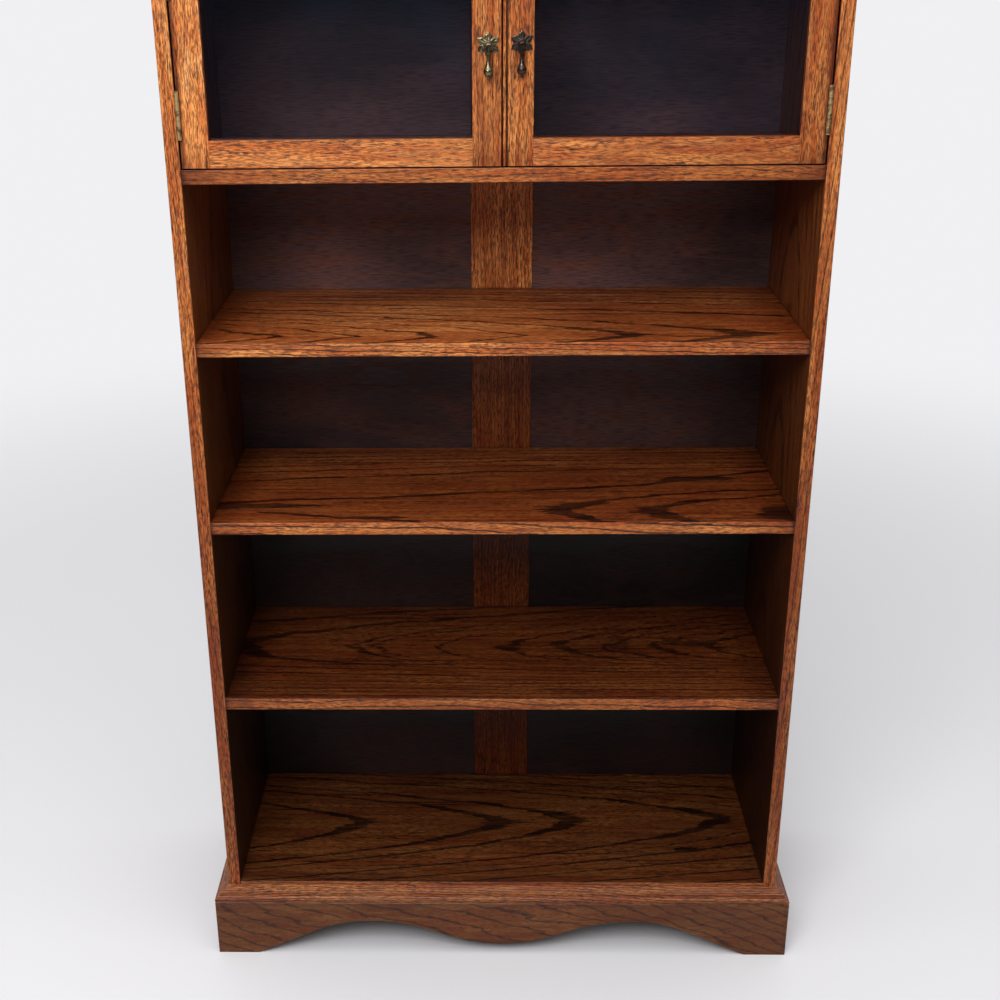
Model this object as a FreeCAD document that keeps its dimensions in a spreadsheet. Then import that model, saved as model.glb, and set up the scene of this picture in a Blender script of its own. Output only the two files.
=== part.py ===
"""Oak bookcase: open shelves below a short cupboard with two glazed doors, on an arched plinth.

Millimetres. X runs to the right, Y to the back and Z up. The front faces -Y. The origin is the
middle of the footprint, on the floor. Sketches and blocks are drawn in case coordinates, whose
Y = 0 is the front edge of the two sides, and every placement then adds CASE_Y.
"""
import FreeCAD, Part
import Sketcher
import math
import os
import re

Vector = FreeCAD.Vector
DOC = FreeCAD.newDocument("Bookcase")

# ---------------------------------------------------------------------------------------------
# Driving dimensions
# ---------------------------------------------------------------------------------------------

SIZES = (
    # the case
    ("outer_width", 724.0),            # across the two sides
    ("side_thickness", 16.0),
    ("shelf_depth", 256.0),            # front edge to the face of the back muntin
    ("shelf_thickness", 16.0),
    ("floor_height", 103.5),           # top of the bottom board
    ("bay_lowest", 262.9),             # clear heights of the four open bays
    ("bay_lower", 224.2),
    ("bay_middle", 203.8),
    ("bay_upper", 177.9),
    ("cupboard_height", 255.0),        # clear height behind the doors
    ("housing_depth", 4.0),            # how far a shelf end is let into a side
    ("housing_stop", 12.0),            # how far behind the front edge a housing ends
    ("edge_round", 1.2),
    ("overcut", 1.0),                  # how far a cut runs past an open edge
    # the top
    ("top_thickness", 16.0),
    ("top_overhang", 14.0),
    ("top_edge_land", 7.0),            # straight part of the top board's edge
    ("top_ovolo", 7.0),
    ("top_fillet", 2.0),               # small flat steps above the ovolo
    ("top_rebate", 8.0),
    ("dowel_radius", 4.0),
    ("dowel_in_top", 10.0),
    ("dowel_in_side", 14.0),
    ("dowel_margin", 38.0),
    # the back
    ("back_rebate", 8.0),
    ("panel_thickness", 4.0),
    ("panel_gap", 0.5),
    ("back_setback", 5.6),             # the sides run this far past the back panels
    ("muntin_width", 77.7),
    ("muntin_thickness", 9.0),
    ("muntin_lip", 2.4),
    ("muntin_rebate", 8.0),
    ("muntin_shift", 2.7),             # how far right of the middle it stands
    ("nail_radius", 0.7),
    ("nail_length", 13.0),
    ("nail_head_radius", 1.5),
    ("nail_head_height", 0.6),
    ("nail_margin", 30.0),
    ("nail_inset", 2.2),               # from the bottom of the side's rebate
    ("wood_screw_radius", 2.0),
    ("wood_screw_head", 3.9),
    ("wood_screw_sink", 2.4),
    ("wood_screw_length", 32.0),
    # the plinth
    ("plinth_thickness", 16.8),
    ("plinth_height", 82.0),
    ("plinth_arris", 0.9),
    ("foot_width", 53.8),
    ("crown_from_end", 203.8),
    ("crown_height", 53.1),
    ("arch_outer_radius", 165.0),      # crown towards the foot
    ("arch_inner_radius", 240.0),      # crown towards the middle
    ("middle_height", 17.0),           # floor to the drop in the middle
    ("mould_height", 16.3),
    ("mould_slope_run", 11.0),
    ("mould_slope_fall", 5.5),
    ("mould_nose_height", 4.0),
    ("mould_nose_radius", 6.9),
    ("block_size", 20.0),
    ("block_length", 62.0),
    ("block_offset", 208.0),           # middle of the case to the outer glue blocks
    # the doors
    ("door_gap_side", 2.0),
    ("door_gap_meeting", 1.8),
    ("door_gap_end", 1.5),             # under and over a door
    ("door_thickness", 19.0),
    ("stile_width", 30.4),
    ("opening_shift", 2.0),            # the right door's glass is further out, past the bead
    ("rail_width", 29.0),
    ("glass_rebate_width", 7.0),
    ("glass_rebate_depth", 10.0),
    ("glass_thickness", 3.0),
    ("glass_gap", 1.0),
    ("tenon_length", 20.0),
    ("tenon_thickness", 6.0),
    ("tenon_inset", 4.0),
    ("bead_radius", 1.65),
    ("quirk_width", 2.3),
    ("quirk_depth", 2.8),
    ("stop_gap", 0.5),
    ("stop_depth", 12.0),
    ("stop_height", 10.0),
    # the hinges
    ("hinge_length", 50.8),
    ("hinge_from_end", 30.0),
    ("leaf_width", 12.0),
    ("leaf_thickness", 1.2),
    ("knuckle_radius", 2.3),
    ("knuckle_gap", 0.3),
    ("recess_gap", 0.2),
    ("axis_forward", 1.8),             # hinge pin in front of the door's face
    ("pin_radius", 1.2),
    ("pin_clearance", 0.05),
    ("hinge_screw_radius", 1.1),
    ("hinge_screw_head", 2.2),
    ("hinge_screw_sink", 1.1),
    ("hinge_screw_length", 11.0),
    # the pulls
    ("pull_inset_left", 13.6),         # from a door's meeting edge to its pull
    ("pull_inset_right", 19.5),
    ("pull_drop_left_door", 3.2),      # below the middle of the door
    ("pull_drop_right_door", 1.8),
    ("plate_radius", 13.4),
    ("plate_rise", 1.5),               # the star's middle above its post
    ("plate_thickness", 1.2),
    ("plate_core_radius", 6.4),
    ("petal_root", 5.0),
    ("petal_half_width", 3.7),
    ("petal_curve", 6.0),
    ("boss_radius", 5.2),
    ("boss_height", 0.8),
    ("head_radius", 4.7),
    ("head_forward", 6.8),             # pendant pin in front of the door's face
    ("neck_post_radius", 2.6),
    ("stem_radius", 2.0),
    ("nut_radius", 4.3),
    ("nut_height", 3.0),
    ("stem_past_nut", 0.8),
    ("slot_gap", 0.3),
    ("mouth_radius", 2.7),
    ("mouth_depth", 3.0),
    ("mouth_fall", 1.2),               # the mouth's middle below the pendant pin
    ("tongue_thickness", 1.8),
    ("tongue_radius", 1.6),
    ("pull_pin_radius", 0.7),
    ("pull_pin_length", 9.6),
    ("collar_start", 5.2),             # heights below the pendant pin
    ("collar_top_radius", 1.9),
    ("collar_radius", 3.0),
    ("collar_from", 6.2),
    ("collar_to", 7.9),
    ("neck_radius", 1.9),
    ("neck_from", 8.8),
    ("neck_to", 12.0),
    ("bulb_drop", 24.8),
    ("bulb_radius", 5.1),
    ("bulb_shoulder", 2.7),
    ("neck_curve", 20.0),
    ("finial_radius", 1.4),
    ("finial_neck", 0.9),
    ("drop_length", 33.2),
    # the catches
    ("catch_inset", 6.5),              # from a door's meeting edge
    ("barrel_radius", 3.5),
    ("barrel_length", 12.0),
    ("barrel_floor", 1.0),
    ("ball_radius", 2.0),
    ("ball_clearance", 0.3),
    ("lip_radius", 1.95),
    ("catch_plate_length", 32.0),
    ("catch_plate_width", 11.0),
    ("catch_plate_thickness", 1.0),
    ("catch_hole_radius", 1.5),
)

NAILS_PER_SIDE = 9
DOWELS_PER_SIDE = 3
KNUCKLES = 5
SCREWS_PER_LEAF = 3
PETALS = 6

SHEET = DOC.addObject("Spreadsheet::Sheet", "Sizes")
for row, (alias, millimetres) in enumerate(SIZES, start=1):
    SHEET.set(f"A{row}", alias)
    SHEET.set(f"B{row}", str(millimetres))
    SHEET.setAlias(f"B{row}", alias)
DOC.recompute()
ALIASES = {alias for alias, _ in SIZES}

# Derived places, written once as expressions of the sheet's names
SIDE_DEPTH = "(shelf_depth + muntin_lip + panel_thickness + back_setback)"
CASE_Y = f"((plinth_thickness - {SIDE_DEPTH}) / 2)"
INNER = "(outer_width / 2 - side_thickness)"
BOTTOM_Z = "(floor_height - shelf_thickness)"
LOWER_Z = "(floor_height + bay_lowest)"
MIDDLE_Z = f"({LOWER_Z} + shelf_thickness + bay_lower)"
UPPER_Z = f"({MIDDLE_Z} + shelf_thickness + bay_middle)"
CUPBOARD_Z = f"({UPPER_Z} + shelf_thickness + bay_upper)"
CEILING = f"({CUPBOARD_Z} + shelf_thickness + cupboard_height)"
PANEL_Y = "(shelf_depth + muntin_lip)"
BACK_TOP = f"({CEILING} + top_rebate - panel_gap)"
PLINTH_HALF = "(outer_width / 2 + plinth_thickness)"
DOOR_BOTTOM = f"({CUPBOARD_Z} + shelf_thickness + door_gap_end)"
DOOR_TOP = f"({CEILING} - door_gap_end)"
MEETING_EDGE = "(door_gap_meeting / 2)"
HINGE_EDGE = f"({INNER} - door_gap_side)"
SHIFTS = {"left": "0", "right": "opening_shift"}
SIGHT_IN = {side: f"({MEETING_EDGE} + stile_width + {SHIFTS[side]})" for side in SHIFTS}
SIGHT_OUT = {side: f"({HINGE_EDGE} - stile_width + {SHIFTS[side]})" for side in SHIFTS}
LIP_Y = "(door_thickness - glass_rebate_depth)"
AXIS_X = f"({INNER} - knuckle_radius)"
LEAF_Y = "(knuckle_radius + knuckle_gap - axis_forward)"
SCREW_Y = f"({LEAF_Y} + leaf_width / 2)"
BALL_RISE = "(door_gap_end - ball_clearance)"
CATCH_X = f"({MEETING_EDGE} + catch_inset)"
CATCH_Y = "(door_thickness / 2)"

BOARD_LEVELS = (
    ("bottom_board", BOTTOM_Z),
    ("shelf_lower", LOWER_Z),
    ("shelf_middle", MIDDLE_Z),
    ("shelf_upper", UPPER_Z),
    ("cupboard_floor", CUPBOARD_Z),
)

# ---------------------------------------------------------------------------------------------
# Helpers
# ---------------------------------------------------------------------------------------------

NODES = []
X_AXIS = Vector(1, 0, 0)
Y_AXIS = Vector(0, 1, 0)
Z_AXIS = Vector(0, 0, 1)


def node(item):
    """Marks a finished document object as one sub-part of the bookcase."""
    NODES.append(item)
    return item


def bind(item, path, expression):
    """Ties a property to the sheet: words that are aliases become references to its cells."""
    def reference(match):
        return "Sizes." + match.group() if match.group() in ALIASES else match.group()
    item.setExpression(path, re.sub(r"[a-z_]+", reference, expression))


def number(expression):
    return float(SHEET.evalExpression(expression))


def place(item, x, y, z):
    bind(item, "Placement.Base.x", x)
    bind(item, "Placement.Base.y", f"{CASE_Y} + ({y})")
    bind(item, "Placement.Base.z", z)
    return item


def add(kind, name):
    item = DOC.addObject(kind, name)
    item.Label = name
    return item


def block(name, xs, ys, zs):
    """A rectangular block between two values on each axis."""
    item = add("Part::Box", name)
    for size, (low, high) in (("Length", xs), ("Width", ys), ("Height", zs)):
        bind(item, size, f"({high}) - ({low})")
    return place(item, xs[0], ys[0], zs[0])


def rod(name, radius, length, start, axis):
    """A cylinder that starts at a point and runs along a direction."""
    item = add("Part::Cylinder", name)
    item.Placement = FreeCAD.Placement(Vector(), FreeCAD.Rotation(Z_AXIS, axis))
    bind(item, "Radius", radius)
    bind(item, "Height", length)
    return place(item, *start)


def cone(name, radius, end_radius, length, start, axis):
    item = add("Part::Cone", name)
    item.Placement = FreeCAD.Placement(Vector(), FreeCAD.Rotation(Z_AXIS, axis))
    bind(item, "Radius1", radius)
    bind(item, "Radius2", end_radius)
    bind(item, "Height", length)
    return place(item, *start)


def ball(name, radius, centre):
    item = add("Part::Sphere", name)
    bind(item, "Radius", radius)
    return place(item, *centre)


def fuse(name, parts):
    item = add("Part::MultiFuse", name)
    item.Shapes = parts
    item.Refine = True
    return item


def cut(name, base, tools):
    item = add("Part::Cut", name)
    item.Base = base
    item.Tool = tools[0] if len(tools) == 1 else fuse(name + "_cutters", tools)
    return item


def group(name, members):
    """Several separate solids in one sub-part."""
    item = add("Part::Compound", name)
    item.Links = members
    return item


def along(start, axis, distance):
    """The point at a distance from start, along one of the main directions."""
    signs = {1: " + ", -1: " - "}
    return tuple(f"{p}{signs[round(c)]}({distance})" if round(c) else p for p, c in zip(start, axis))


def screw(name, head_radius, radius, sink, length, start, axis):
    """A countersunk screw: start is the middle of its head."""
    head = cone(name + "_head", head_radius, radius, sink, start, axis)
    shank = rod(name + "_shank", radius, f"{length} - {sink}", along(start, axis, sink), axis)
    return fuse(name, [head, shank])


def across(side, near, far):
    """An interval on X, given as distances from the middle, on the left or the right."""
    return (near, far) if side == "right" else (f"-({far})", f"-({near})")


def at_side(side, distance):
    return distance if side == "right" else f"-({distance})"


def outwards(side):
    return X_AXIS if side == "right" else -X_AXIS


def body(name, x="0", y="0", z="0"):
    return place(add("PartDesign::Body", name), x, y, z)


def sketch(owner, role, shift="0"):
    """A sketch on one of the body's own origin planes, moved along the plane's normal."""
    item = owner.newObject("Sketcher::SketchObject", owner.Label + "_sketch")
    plane = next(f for f in owner.Origin.OriginFeatures if f.Role == role)
    item.AttachmentSupport = (plane, [""])
    item.MapMode = "FlatFace"
    bind(item, "AttachmentOffset.Base.z", shift)
    return item


def arc_between(start, end, radius, bulge):
    """The minor arc from start to end. bulge is 1 if it bows to the left of the way, else -1."""
    chord = end - start
    half = chord.Length / 2
    left = Vector(-chord.y, chord.x, 0).normalize()
    depth = math.sqrt(max(radius * radius - half * half, 0.0))
    centre = (start + end) / 2 - left * bulge * depth
    first, last = (end, start) if bulge > 0 else (start, end)
    angles = [math.atan2(p.y - centre.y, p.x - centre.x) for p in (first, last)]
    return Part.ArcOfCircle(Part.Circle(centre, Z_AXIS, radius), *angles)


def outline(item, corners):
    """Draws a closed outline whose corners are bound to the sheet.

    A corner is (x, y), or (x, y, radius, bulge) where an arc runs from it to the next corner.
    """
    first = item.GeometryCount
    points = [Vector(number(c[0]), number(c[1]), 0) for c in corners]
    ends = []
    for index, corner in enumerate(corners):
        start = points[index]
        end = points[(index + 1) % len(points)]
        if len(corner) == 2:
            item.addGeometry(Part.LineSegment(start, end))
            ends.append((1, 2))
        else:
            item.addGeometry(arc_between(start, end, number(corner[2]), corner[3]))
            ends.append((2, 1) if corner[3] > 0 else (1, 2))
    for index, corner in enumerate(corners):
        here = first + index
        after = (index + 1) % len(corners)
        joint = (here, ends[index][1], first + after, ends[after][0])
        item.addConstraint(Sketcher.Constraint("Coincident", *joint))
        for kind, value, amount in zip(("DistanceX", "DistanceY"), corner, points[index]):
            made = item.addConstraint(Sketcher.Constraint(kind, here, ends[index][0], amount))
            bind(item, f"Constraints[{made}]", value)
        if len(corner) > 2:
            size = number(corner[2])
            made = item.addConstraint(Sketcher.Constraint("Radius", here, size))
            bind(item, f"Constraints[{made}]", corner[2])
    return item


def rectangle(item, xs, ys):
    return outline(item, ((xs[0], ys[0]), (xs[1], ys[0]), (xs[1], ys[1]), (xs[0], ys[1])))


def circle(item, radius):
    """A circle about the sketch's origin."""
    made = item.addGeometry(Part.Circle(Vector(), Z_AXIS, number(radius)))
    item.addConstraint(Sketcher.Constraint("Coincident", made, 3, -1, 1))
    size = item.addConstraint(Sketcher.Constraint("Radius", made, number(radius)))
    bind(item, f"Constraints[{size}]", radius)
    return item


def mirrored(corners):
    """The same outline with X turned round."""
    return [(f"-({c[0]})", c[1]) + ((c[2], -c[3]) if len(c) > 2 else ()) for c in corners]


def pad(owner, profile, length, midplane=False):
    item = owner.newObject("PartDesign::Pad", owner.Label + "_pad")
    item.Profile = profile
    item.Midplane = midplane
    bind(item, "Length", length)
    return item


def pocket_through(owner, profile):
    """Cuts the profile right through, both ways from its plane."""
    item = owner.newObject("PartDesign::Pocket", owner.Label + "_pocket")
    item.Profile = profile
    item.Type = "ThroughAll"
    item.Midplane = True
    return item


def dress(owner, kind, property_name, value, chosen):
    """A fillet or chamfer on the edges of the body's tip that chosen() picks."""
    DOC.recompute()
    base = owner.Tip
    edges = base.Shape.Edges
    names = [f"Edge{i}" for i, edge in enumerate(edges, start=1) if chosen(edge)]
    item = owner.newObject("PartDesign::" + kind, owner.Label + "_" + kind.lower())
    item.Base = (base, names)
    bind(item, property_name, value)
    return item


def runs_along(edge, axis):
    """True for a straight edge that is parallel to an axis."""
    if edge.Curve.TypeId != "Part::GeomLine":
        return False
    return abs(abs(edge.tangentAt(edge.FirstParameter).dot(axis)) - 1) < 1e-6


def evenly(count, first, last):
    """Expressions for count places from first to last."""
    return [f"{first} + ({last} - ({first})) * {i} / {count - 1}" for i in range(count)]


# ---------------------------------------------------------------------------------------------
# Fasteners of the case, drawn first because the boards are cut by them
# ---------------------------------------------------------------------------------------------


def top_dowels():
    """Dowels that join the two sides to the top board."""
    made = {"left": [], "right": []}
    ys = evenly(DOWELS_PER_SIDE, "dowel_margin", f"{SIDE_DEPTH} - dowel_margin")
    x = f"{INNER} + side_thickness / 2"
    for side in made:
        for index, y in enumerate(ys, start=1):
            start = (at_side(side, x), y, f"{CEILING} - dowel_in_side")
            name = f"dowel_{side}_{index}"
            made[side].append(rod(name, "dowel_radius", "dowel_in_side + dowel_in_top", start, Z_AXIS))
    return made


def panel_nails():
    """Nails that hold the back panels in the rebates of the sides."""
    made = {"left": [], "right": []}
    zs = evenly(NAILS_PER_SIDE, f"({BOTTOM_Z} + nail_margin)", f"({BACK_TOP} - nail_margin)")
    x = f"{INNER} + back_rebate - nail_inset"
    rear = f"{PANEL_Y} + panel_thickness"
    for side in made:
        for index, z in enumerate(zs, start=1):
            start = (at_side(side, x), rear, z)
            name = f"nail_{side}_{index}"
            shank = rod(name + "_shank", "nail_radius", "nail_length", start, -Y_AXIS)
            head = rod(name + "_head", "nail_head_radius", "nail_head_height", start, Y_AXIS)
            made[side].append(fuse(name, [shank, head]))
    return made


def muntin_fixings():
    """Screws through the muntin into the rear edge of every board."""
    made = {}
    for name, level in BOARD_LEVELS:
        start = ("muntin_shift", "shelf_depth + muntin_thickness", f"{level} + shelf_thickness / 2")
        made[name] = screw("muntin_screw_" + name, "wood_screw_head", "wood_screw_radius",
                           "wood_screw_sink", "wood_screw_length", start, -Y_AXIS)
    return made


def hinge_levels():
    lower = f"({DOOR_BOTTOM} + hinge_from_end)"
    upper = f"({DOOR_TOP} - hinge_from_end - hinge_length)"
    return (("lower", lower), ("upper", upper))


def leaf_screws(side, leaf):
    """Screws of one door's fixed or moving leaves. Their heads lie flush in the leaf."""
    made = []
    if leaf == "fixed":
        x = f"{AXIS_X} + knuckle_radius - leaf_thickness"
        axis = outwards(side)
    else:
        x = f"{AXIS_X} - knuckle_radius + leaf_thickness"
        axis = -outwards(side)
    for place_name, level in hinge_levels():
        for index in range(SCREWS_PER_LEAF):
            z = f"{level} + hinge_length * {2 * index + 1} / {2 * SCREWS_PER_LEAF}"
            name = f"{leaf}_leaf_screw_{side}_{place_name}_{index + 1}"
            made.append(screw(name, "hinge_screw_head", "hinge_screw_radius", "hinge_screw_sink",
                              "hinge_screw_length", (at_side(side, x), SCREW_Y, z), axis))
    return made


# ---------------------------------------------------------------------------------------------
# The case
# ---------------------------------------------------------------------------------------------


def side_board(side, cutters):
    """One side: a board with stopped housings and a rebate for the back panel."""
    x = INNER if side == "right" else "-outer_width / 2"
    board = body(f"side_{side}_board", x=x)
    profile = rectangle(sketch(board, "YZ_Plane"), ("0", SIDE_DEPTH), ("0", CEILING))
    pad(board, profile, "side_thickness")
    dress(board, "Fillet", "Radius", "edge_round",
          lambda edge: runs_along(edge, Z_AXIS) and abs(edge.Vertexes[0].Y) < 1e-6)
    tools = list(cutters)
    for name, level in BOARD_LEVELS:
        tools.append(block(f"housing_{side}_{name}", across(side, INNER, f"{INNER} + housing_depth"),
                           ("housing_stop", PANEL_Y), (level, f"{level} + shelf_thickness")))
    tools.append(block(f"back_rebate_{side}", across(side, INNER, f"{INNER} + back_rebate"),
                       (PANEL_Y, f"{SIDE_DEPTH} + overcut"), ("0", CEILING)))
    return node(cut(f"side_{side}", board, tools))


def shelf_board(name, level, fixing):
    """A shelf whose ends are let into the sides behind a notch at each front corner."""
    board = body(name + "_board", z=level)
    tongue = f"({INNER} + housing_depth)"
    half = [(INNER, "0"), (INNER, "housing_stop"), (tongue, "housing_stop"), (tongue, "shelf_depth")]
    outline_points = half + [(f"-({x})", y) for x, y in reversed(half)]
    pad(board, outline(sketch(board, "XY_Plane"), outline_points), "shelf_thickness")
    dress(board, "Fillet", "Radius", "edge_round",
          lambda edge: runs_along(edge, X_AXIS) and abs(edge.Vertexes[0].Y) < 1e-6)
    return node(cut(name, board, [fixing]))


def top_board(dowels, plate):
    """The top, with an ovolo and a small fillet worked on its front and end edges."""
    reach = "(outer_width / 2 + top_overhang)"
    board = body("top_board_board", z=CEILING)
    flat = sketch(board, "XY_Plane")
    pad(board, rectangle(flat, (f"-{reach}", reach), ("-top_overhang", SIDE_DEPTH)), "top_thickness")

    def edge_waste(edge, sign):
        """What the moulding plane takes off an edge at a given place."""
        step = f"({edge} - {sign} * top_ovolo)"
        inner = f"({edge} - {sign} * (top_ovolo + top_fillet))"
        ovolo_top = "(top_edge_land + top_ovolo)"
        clear = f"({edge} + {sign} * top_overhang)"
        above = "(top_thickness + top_fillet)"
        return ((edge, "top_edge_land", "top_ovolo", -sign), (step, ovolo_top), (inner, ovolo_top),
                (inner, above), (clear, above), (clear, "top_edge_land"))

    ends = sketch(board, "XZ_Plane")
    outline(ends, edge_waste(reach, 1))
    outline(ends, edge_waste(f"-{reach}", -1))
    pocket_through(board, ends)
    front = sketch(board, "YZ_Plane")
    outline(front, edge_waste("-top_overhang", -1))
    pocket_through(board, front)
    rebate = block("top_board_rebate", (f"-({INNER} + back_rebate)", f"{INNER} + back_rebate"),
                   ("shelf_depth", f"{SIDE_DEPTH} + overcut"), (CEILING, f"{CEILING} + top_rebate"))
    return node(cut("top_board", board, [*dowels, rebate, plate]))


def back_frame(screws, nails):
    """The muntin between the two plywood panels, and the panels in their rebates."""
    height = f"{BACK_TOP} - {BOTTOM_Z}"
    post = body("back_muntin_board", x="muntin_shift", y="shelf_depth", z=BOTTOM_Z)
    half = "(muntin_width / 2)"
    shoulder = "(muntin_width / 2 - muntin_rebate)"
    right = [(half, "0"), (half, "muntin_lip"), (shoulder, "muntin_lip"), (shoulder, "muntin_thickness")]
    points = right + [(f"-{x}", y) for x, y in reversed(right)]
    pad(post, outline(sketch(post, "XY_Plane"), points), height)
    node(cut("back_muntin", post, screws))
    for side, sign in (("left", "-"), ("right", "+")):
        near = f"{shoulder} {sign} muntin_shift + panel_gap"
        xs = across(side, near, f"{INNER} + back_rebate - panel_gap")
        panel = block(f"back_panel_{side}_sheet", xs, (PANEL_Y, f"{PANEL_Y} + panel_thickness"),
                      (BOTTOM_Z, BACK_TOP))
        node(cut(f"back_panel_{side}", panel, nails[side]))


# ---------------------------------------------------------------------------------------------
# The plinth
# ---------------------------------------------------------------------------------------------


def mitre_waste(side):
    """In plan, the corner that a mitre takes off the end of a front piece."""
    corners = [(PLINTH_HALF, "-plinth_thickness"), (PLINTH_HALF, "0"), ("outer_width / 2", "0")]
    return corners if side == "right" else mirrored(corners)


def arch_points():
    """The right half of the front board's lower edge, from the middle to the foot."""
    crown = f"({PLINTH_HALF} - crown_from_end)"
    foot = f"({PLINTH_HALF} - foot_width)"
    run = f"({foot} - {crown})"
    rise = "(arch_outer_radius - crown_height)"
    # a straight line leaves the foot and touches the outer arc
    turn = f"(atan({rise} / {run}) + acos(arch_outer_radius / sqrt({run} ^ 2 + {rise} ^ 2)))"
    touch = (f"{crown} + arch_outer_radius * cos({turn})", f"arch_outer_radius * sin({turn}) - {rise}")
    # the inner arc and the arc of the middle drop touch at the bend
    fall = "(crown_height - middle_height)"
    both_radii = f"(({crown} ^ 2 + {fall} ^ 2) / (2 * {fall}))"
    share = f"(arch_inner_radius / {both_radii})"
    bend = (f"{crown} * (1 - {share})", f"crown_height - {fall} * {share}")
    return {
        "middle": ("0", "middle_height"),
        "bend": bend,
        "crown": (crown, "crown_height"),
        "touch": touch,
        "foot": (foot, "0"),
        "drop_radius": f"{both_radii} - arch_inner_radius",
    }


def plinth_front():
    """The front board: two shallow arches between its feet and a rounded drop in the middle."""
    board = body("plinth_front")
    arch = arch_points()
    left = {key: (f"-({arch[key][0]})", arch[key][1]) for key in ("bend", "crown", "touch", "foot")}
    corners = [
        (*arch["middle"], arch["drop_radius"], -1),
        (*arch["bend"], "arch_inner_radius", 1),
        (*arch["crown"], "arch_outer_radius", 1),
        arch["touch"],
        arch["foot"],
        (PLINTH_HALF, "0"),
        (PLINTH_HALF, "plinth_height"),
        (f"-{PLINTH_HALF}", "plinth_height"),
        (f"-{PLINTH_HALF}", "0"),
        left["foot"],
        (*left["touch"], "arch_outer_radius", 1),
        (*left["crown"], "arch_inner_radius", 1),
        (*left["bend"], arch["drop_radius"], -1),
    ]
    pad(board, outline(sketch(board, "XZ_Plane"), corners), "plinth_thickness")
    ends = sketch(board, "XY_Plane")
    for side in ("left", "right"):
        outline(ends, mitre_waste(side))
    pocket_through(board, ends)
    top = number("plinth_height")
    face = -number("plinth_thickness")
    dress(board, "Chamfer", "Size", "plinth_arris",
          lambda edge: runs_along(edge, X_AXIS) and abs(edge.Vertexes[0].Z - top) < 1e-6
          and abs(edge.Vertexes[0].Y - face) < 1e-6)
    return node(board)


def plinth_end(side):
    """A side board of the plinth, mitred to the front board."""
    board = body(f"plinth_{side}")
    corners = [(PLINTH_HALF, "-plinth_thickness"), (PLINTH_HALF, SIDE_DEPTH),
               ("outer_width / 2", SIDE_DEPTH), ("outer_width / 2", "0")]
    corners = corners if side == "right" else mirrored(corners)
    pad(board, outline(sketch(board, "XY_Plane"), corners), "plinth_height")
    top = number("plinth_height")
    edge_x = number(PLINTH_HALF)
    dress(board, "Chamfer", "Size", "plinth_arris",
          lambda edge: runs_along(edge, Y_AXIS) and abs(edge.Vertexes[0].Z - top) < 1e-6
          and abs(abs(edge.Vertexes[0].X) - edge_x) < 1e-6)
    return node(board)


def mould_section(start, sign):
    """The plinth moulding: a slope that falls to a rounded nose, with a V joint under it."""
    def at(distance, height):
        return f"{start} + {sign} * ({distance})", f"plinth_height + {height}"

    return [
        at("0", "0"),
        at("plinth_thickness - plinth_arris", "0"),
        at("plinth_thickness", "plinth_arris"),
        (*at("plinth_thickness", "mould_nose_height"), "mould_nose_radius", sign),
        at("mould_slope_run", "mould_height - mould_slope_fall"),
        at("0", "mould_height"),
    ]


def moulding_front():
    strip = body("plinth_moulding_front")
    section = outline(sketch(strip, "YZ_Plane"), mould_section("0", -1))
    pad(strip, section, f"2 * {PLINTH_HALF}", midplane=True)
    ends = sketch(strip, "XY_Plane")
    for side in ("left", "right"):
        outline(ends, mitre_waste(side))
    pocket_through(strip, ends)
    return node(strip)


def moulding_end(side):
    strip = body(f"plinth_moulding_{side}")
    sign = 1 if side == "right" else -1
    plane = sketch(strip, "XZ_Plane", shift=f"-{SIDE_DEPTH}")
    section = outline(plane, mould_section(at_side(side, "outer_width / 2"), sign))
    pad(strip, section, f"{SIDE_DEPTH} + plinth_thickness")
    waste = [(PLINTH_HALF, "-plinth_thickness"), ("outer_width / 2", "0"),
             ("outer_width / 2", "-plinth_thickness")]
    corner = sketch(strip, "XY_Plane")
    outline(corner, waste if side == "right" else mirrored(waste))
    pocket_through(strip, corner)
    return node(strip)


def glue_blocks():
    """Blocks rubbed into the corners behind the plinth, three under the board and two upright."""
    made = []
    under = (f"{BOTTOM_Z} - block_size", BOTTOM_Z)
    for index, middle in enumerate(evenly(3, "-block_offset", "block_offset"), start=1):
        xs = (f"{middle} - block_length / 2", f"{middle} + block_length / 2")
        made.append(block(f"glue_block_{index}", xs, ("0", "block_size"), under))
    for side in ("left", "right"):
        xs = across(side, f"{INNER} - block_size", INNER)
        zs = (f"{under[0]} - block_length", under[0])
        made.append(block(f"glue_block_{side}", xs, ("0", "block_size"), zs))
    return node(group("glue_blocks", made))


# ---------------------------------------------------------------------------------------------
# The doors
# ---------------------------------------------------------------------------------------------


def door_stop():
    """A strip under the top that both doors close against."""
    near = "door_thickness + stop_gap"
    return node(block("door_stop", (f"-{INNER}", INNER), (near, f"{near} + stop_depth"),
                      (f"{CEILING} - stop_height", CEILING)))


def meeting_section(side):
    """The meeting stile in plan. The right door's has a bead and a quirk on its edge."""
    sight = SIGHT_IN[side]
    rebate = f"({sight} - glass_rebate_width)"
    inner_edge = [(sight, "0"), (sight, LIP_Y), (rebate, LIP_Y), (rebate, "door_thickness"),
                  (MEETING_EDGE, "door_thickness")]
    if side == "left":
        return mirrored([*inner_edge, (MEETING_EDGE, "0")])
    crest = f"({MEETING_EDGE} + bead_radius)"
    bead_end = f"({MEETING_EDGE} + 2 * bead_radius)"
    quirk_end = f"({MEETING_EDGE} + 2 * bead_radius + quirk_width)"
    return [
        *inner_edge,
        (MEETING_EDGE, "bead_radius", "bead_radius", -1),
        (crest, "0", "bead_radius", -1),
        (bead_end, "bead_radius"),
        (bead_end, "quirk_depth"),
        (quirk_end, "quirk_depth"),
        (quirk_end, "0"),
    ]


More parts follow.
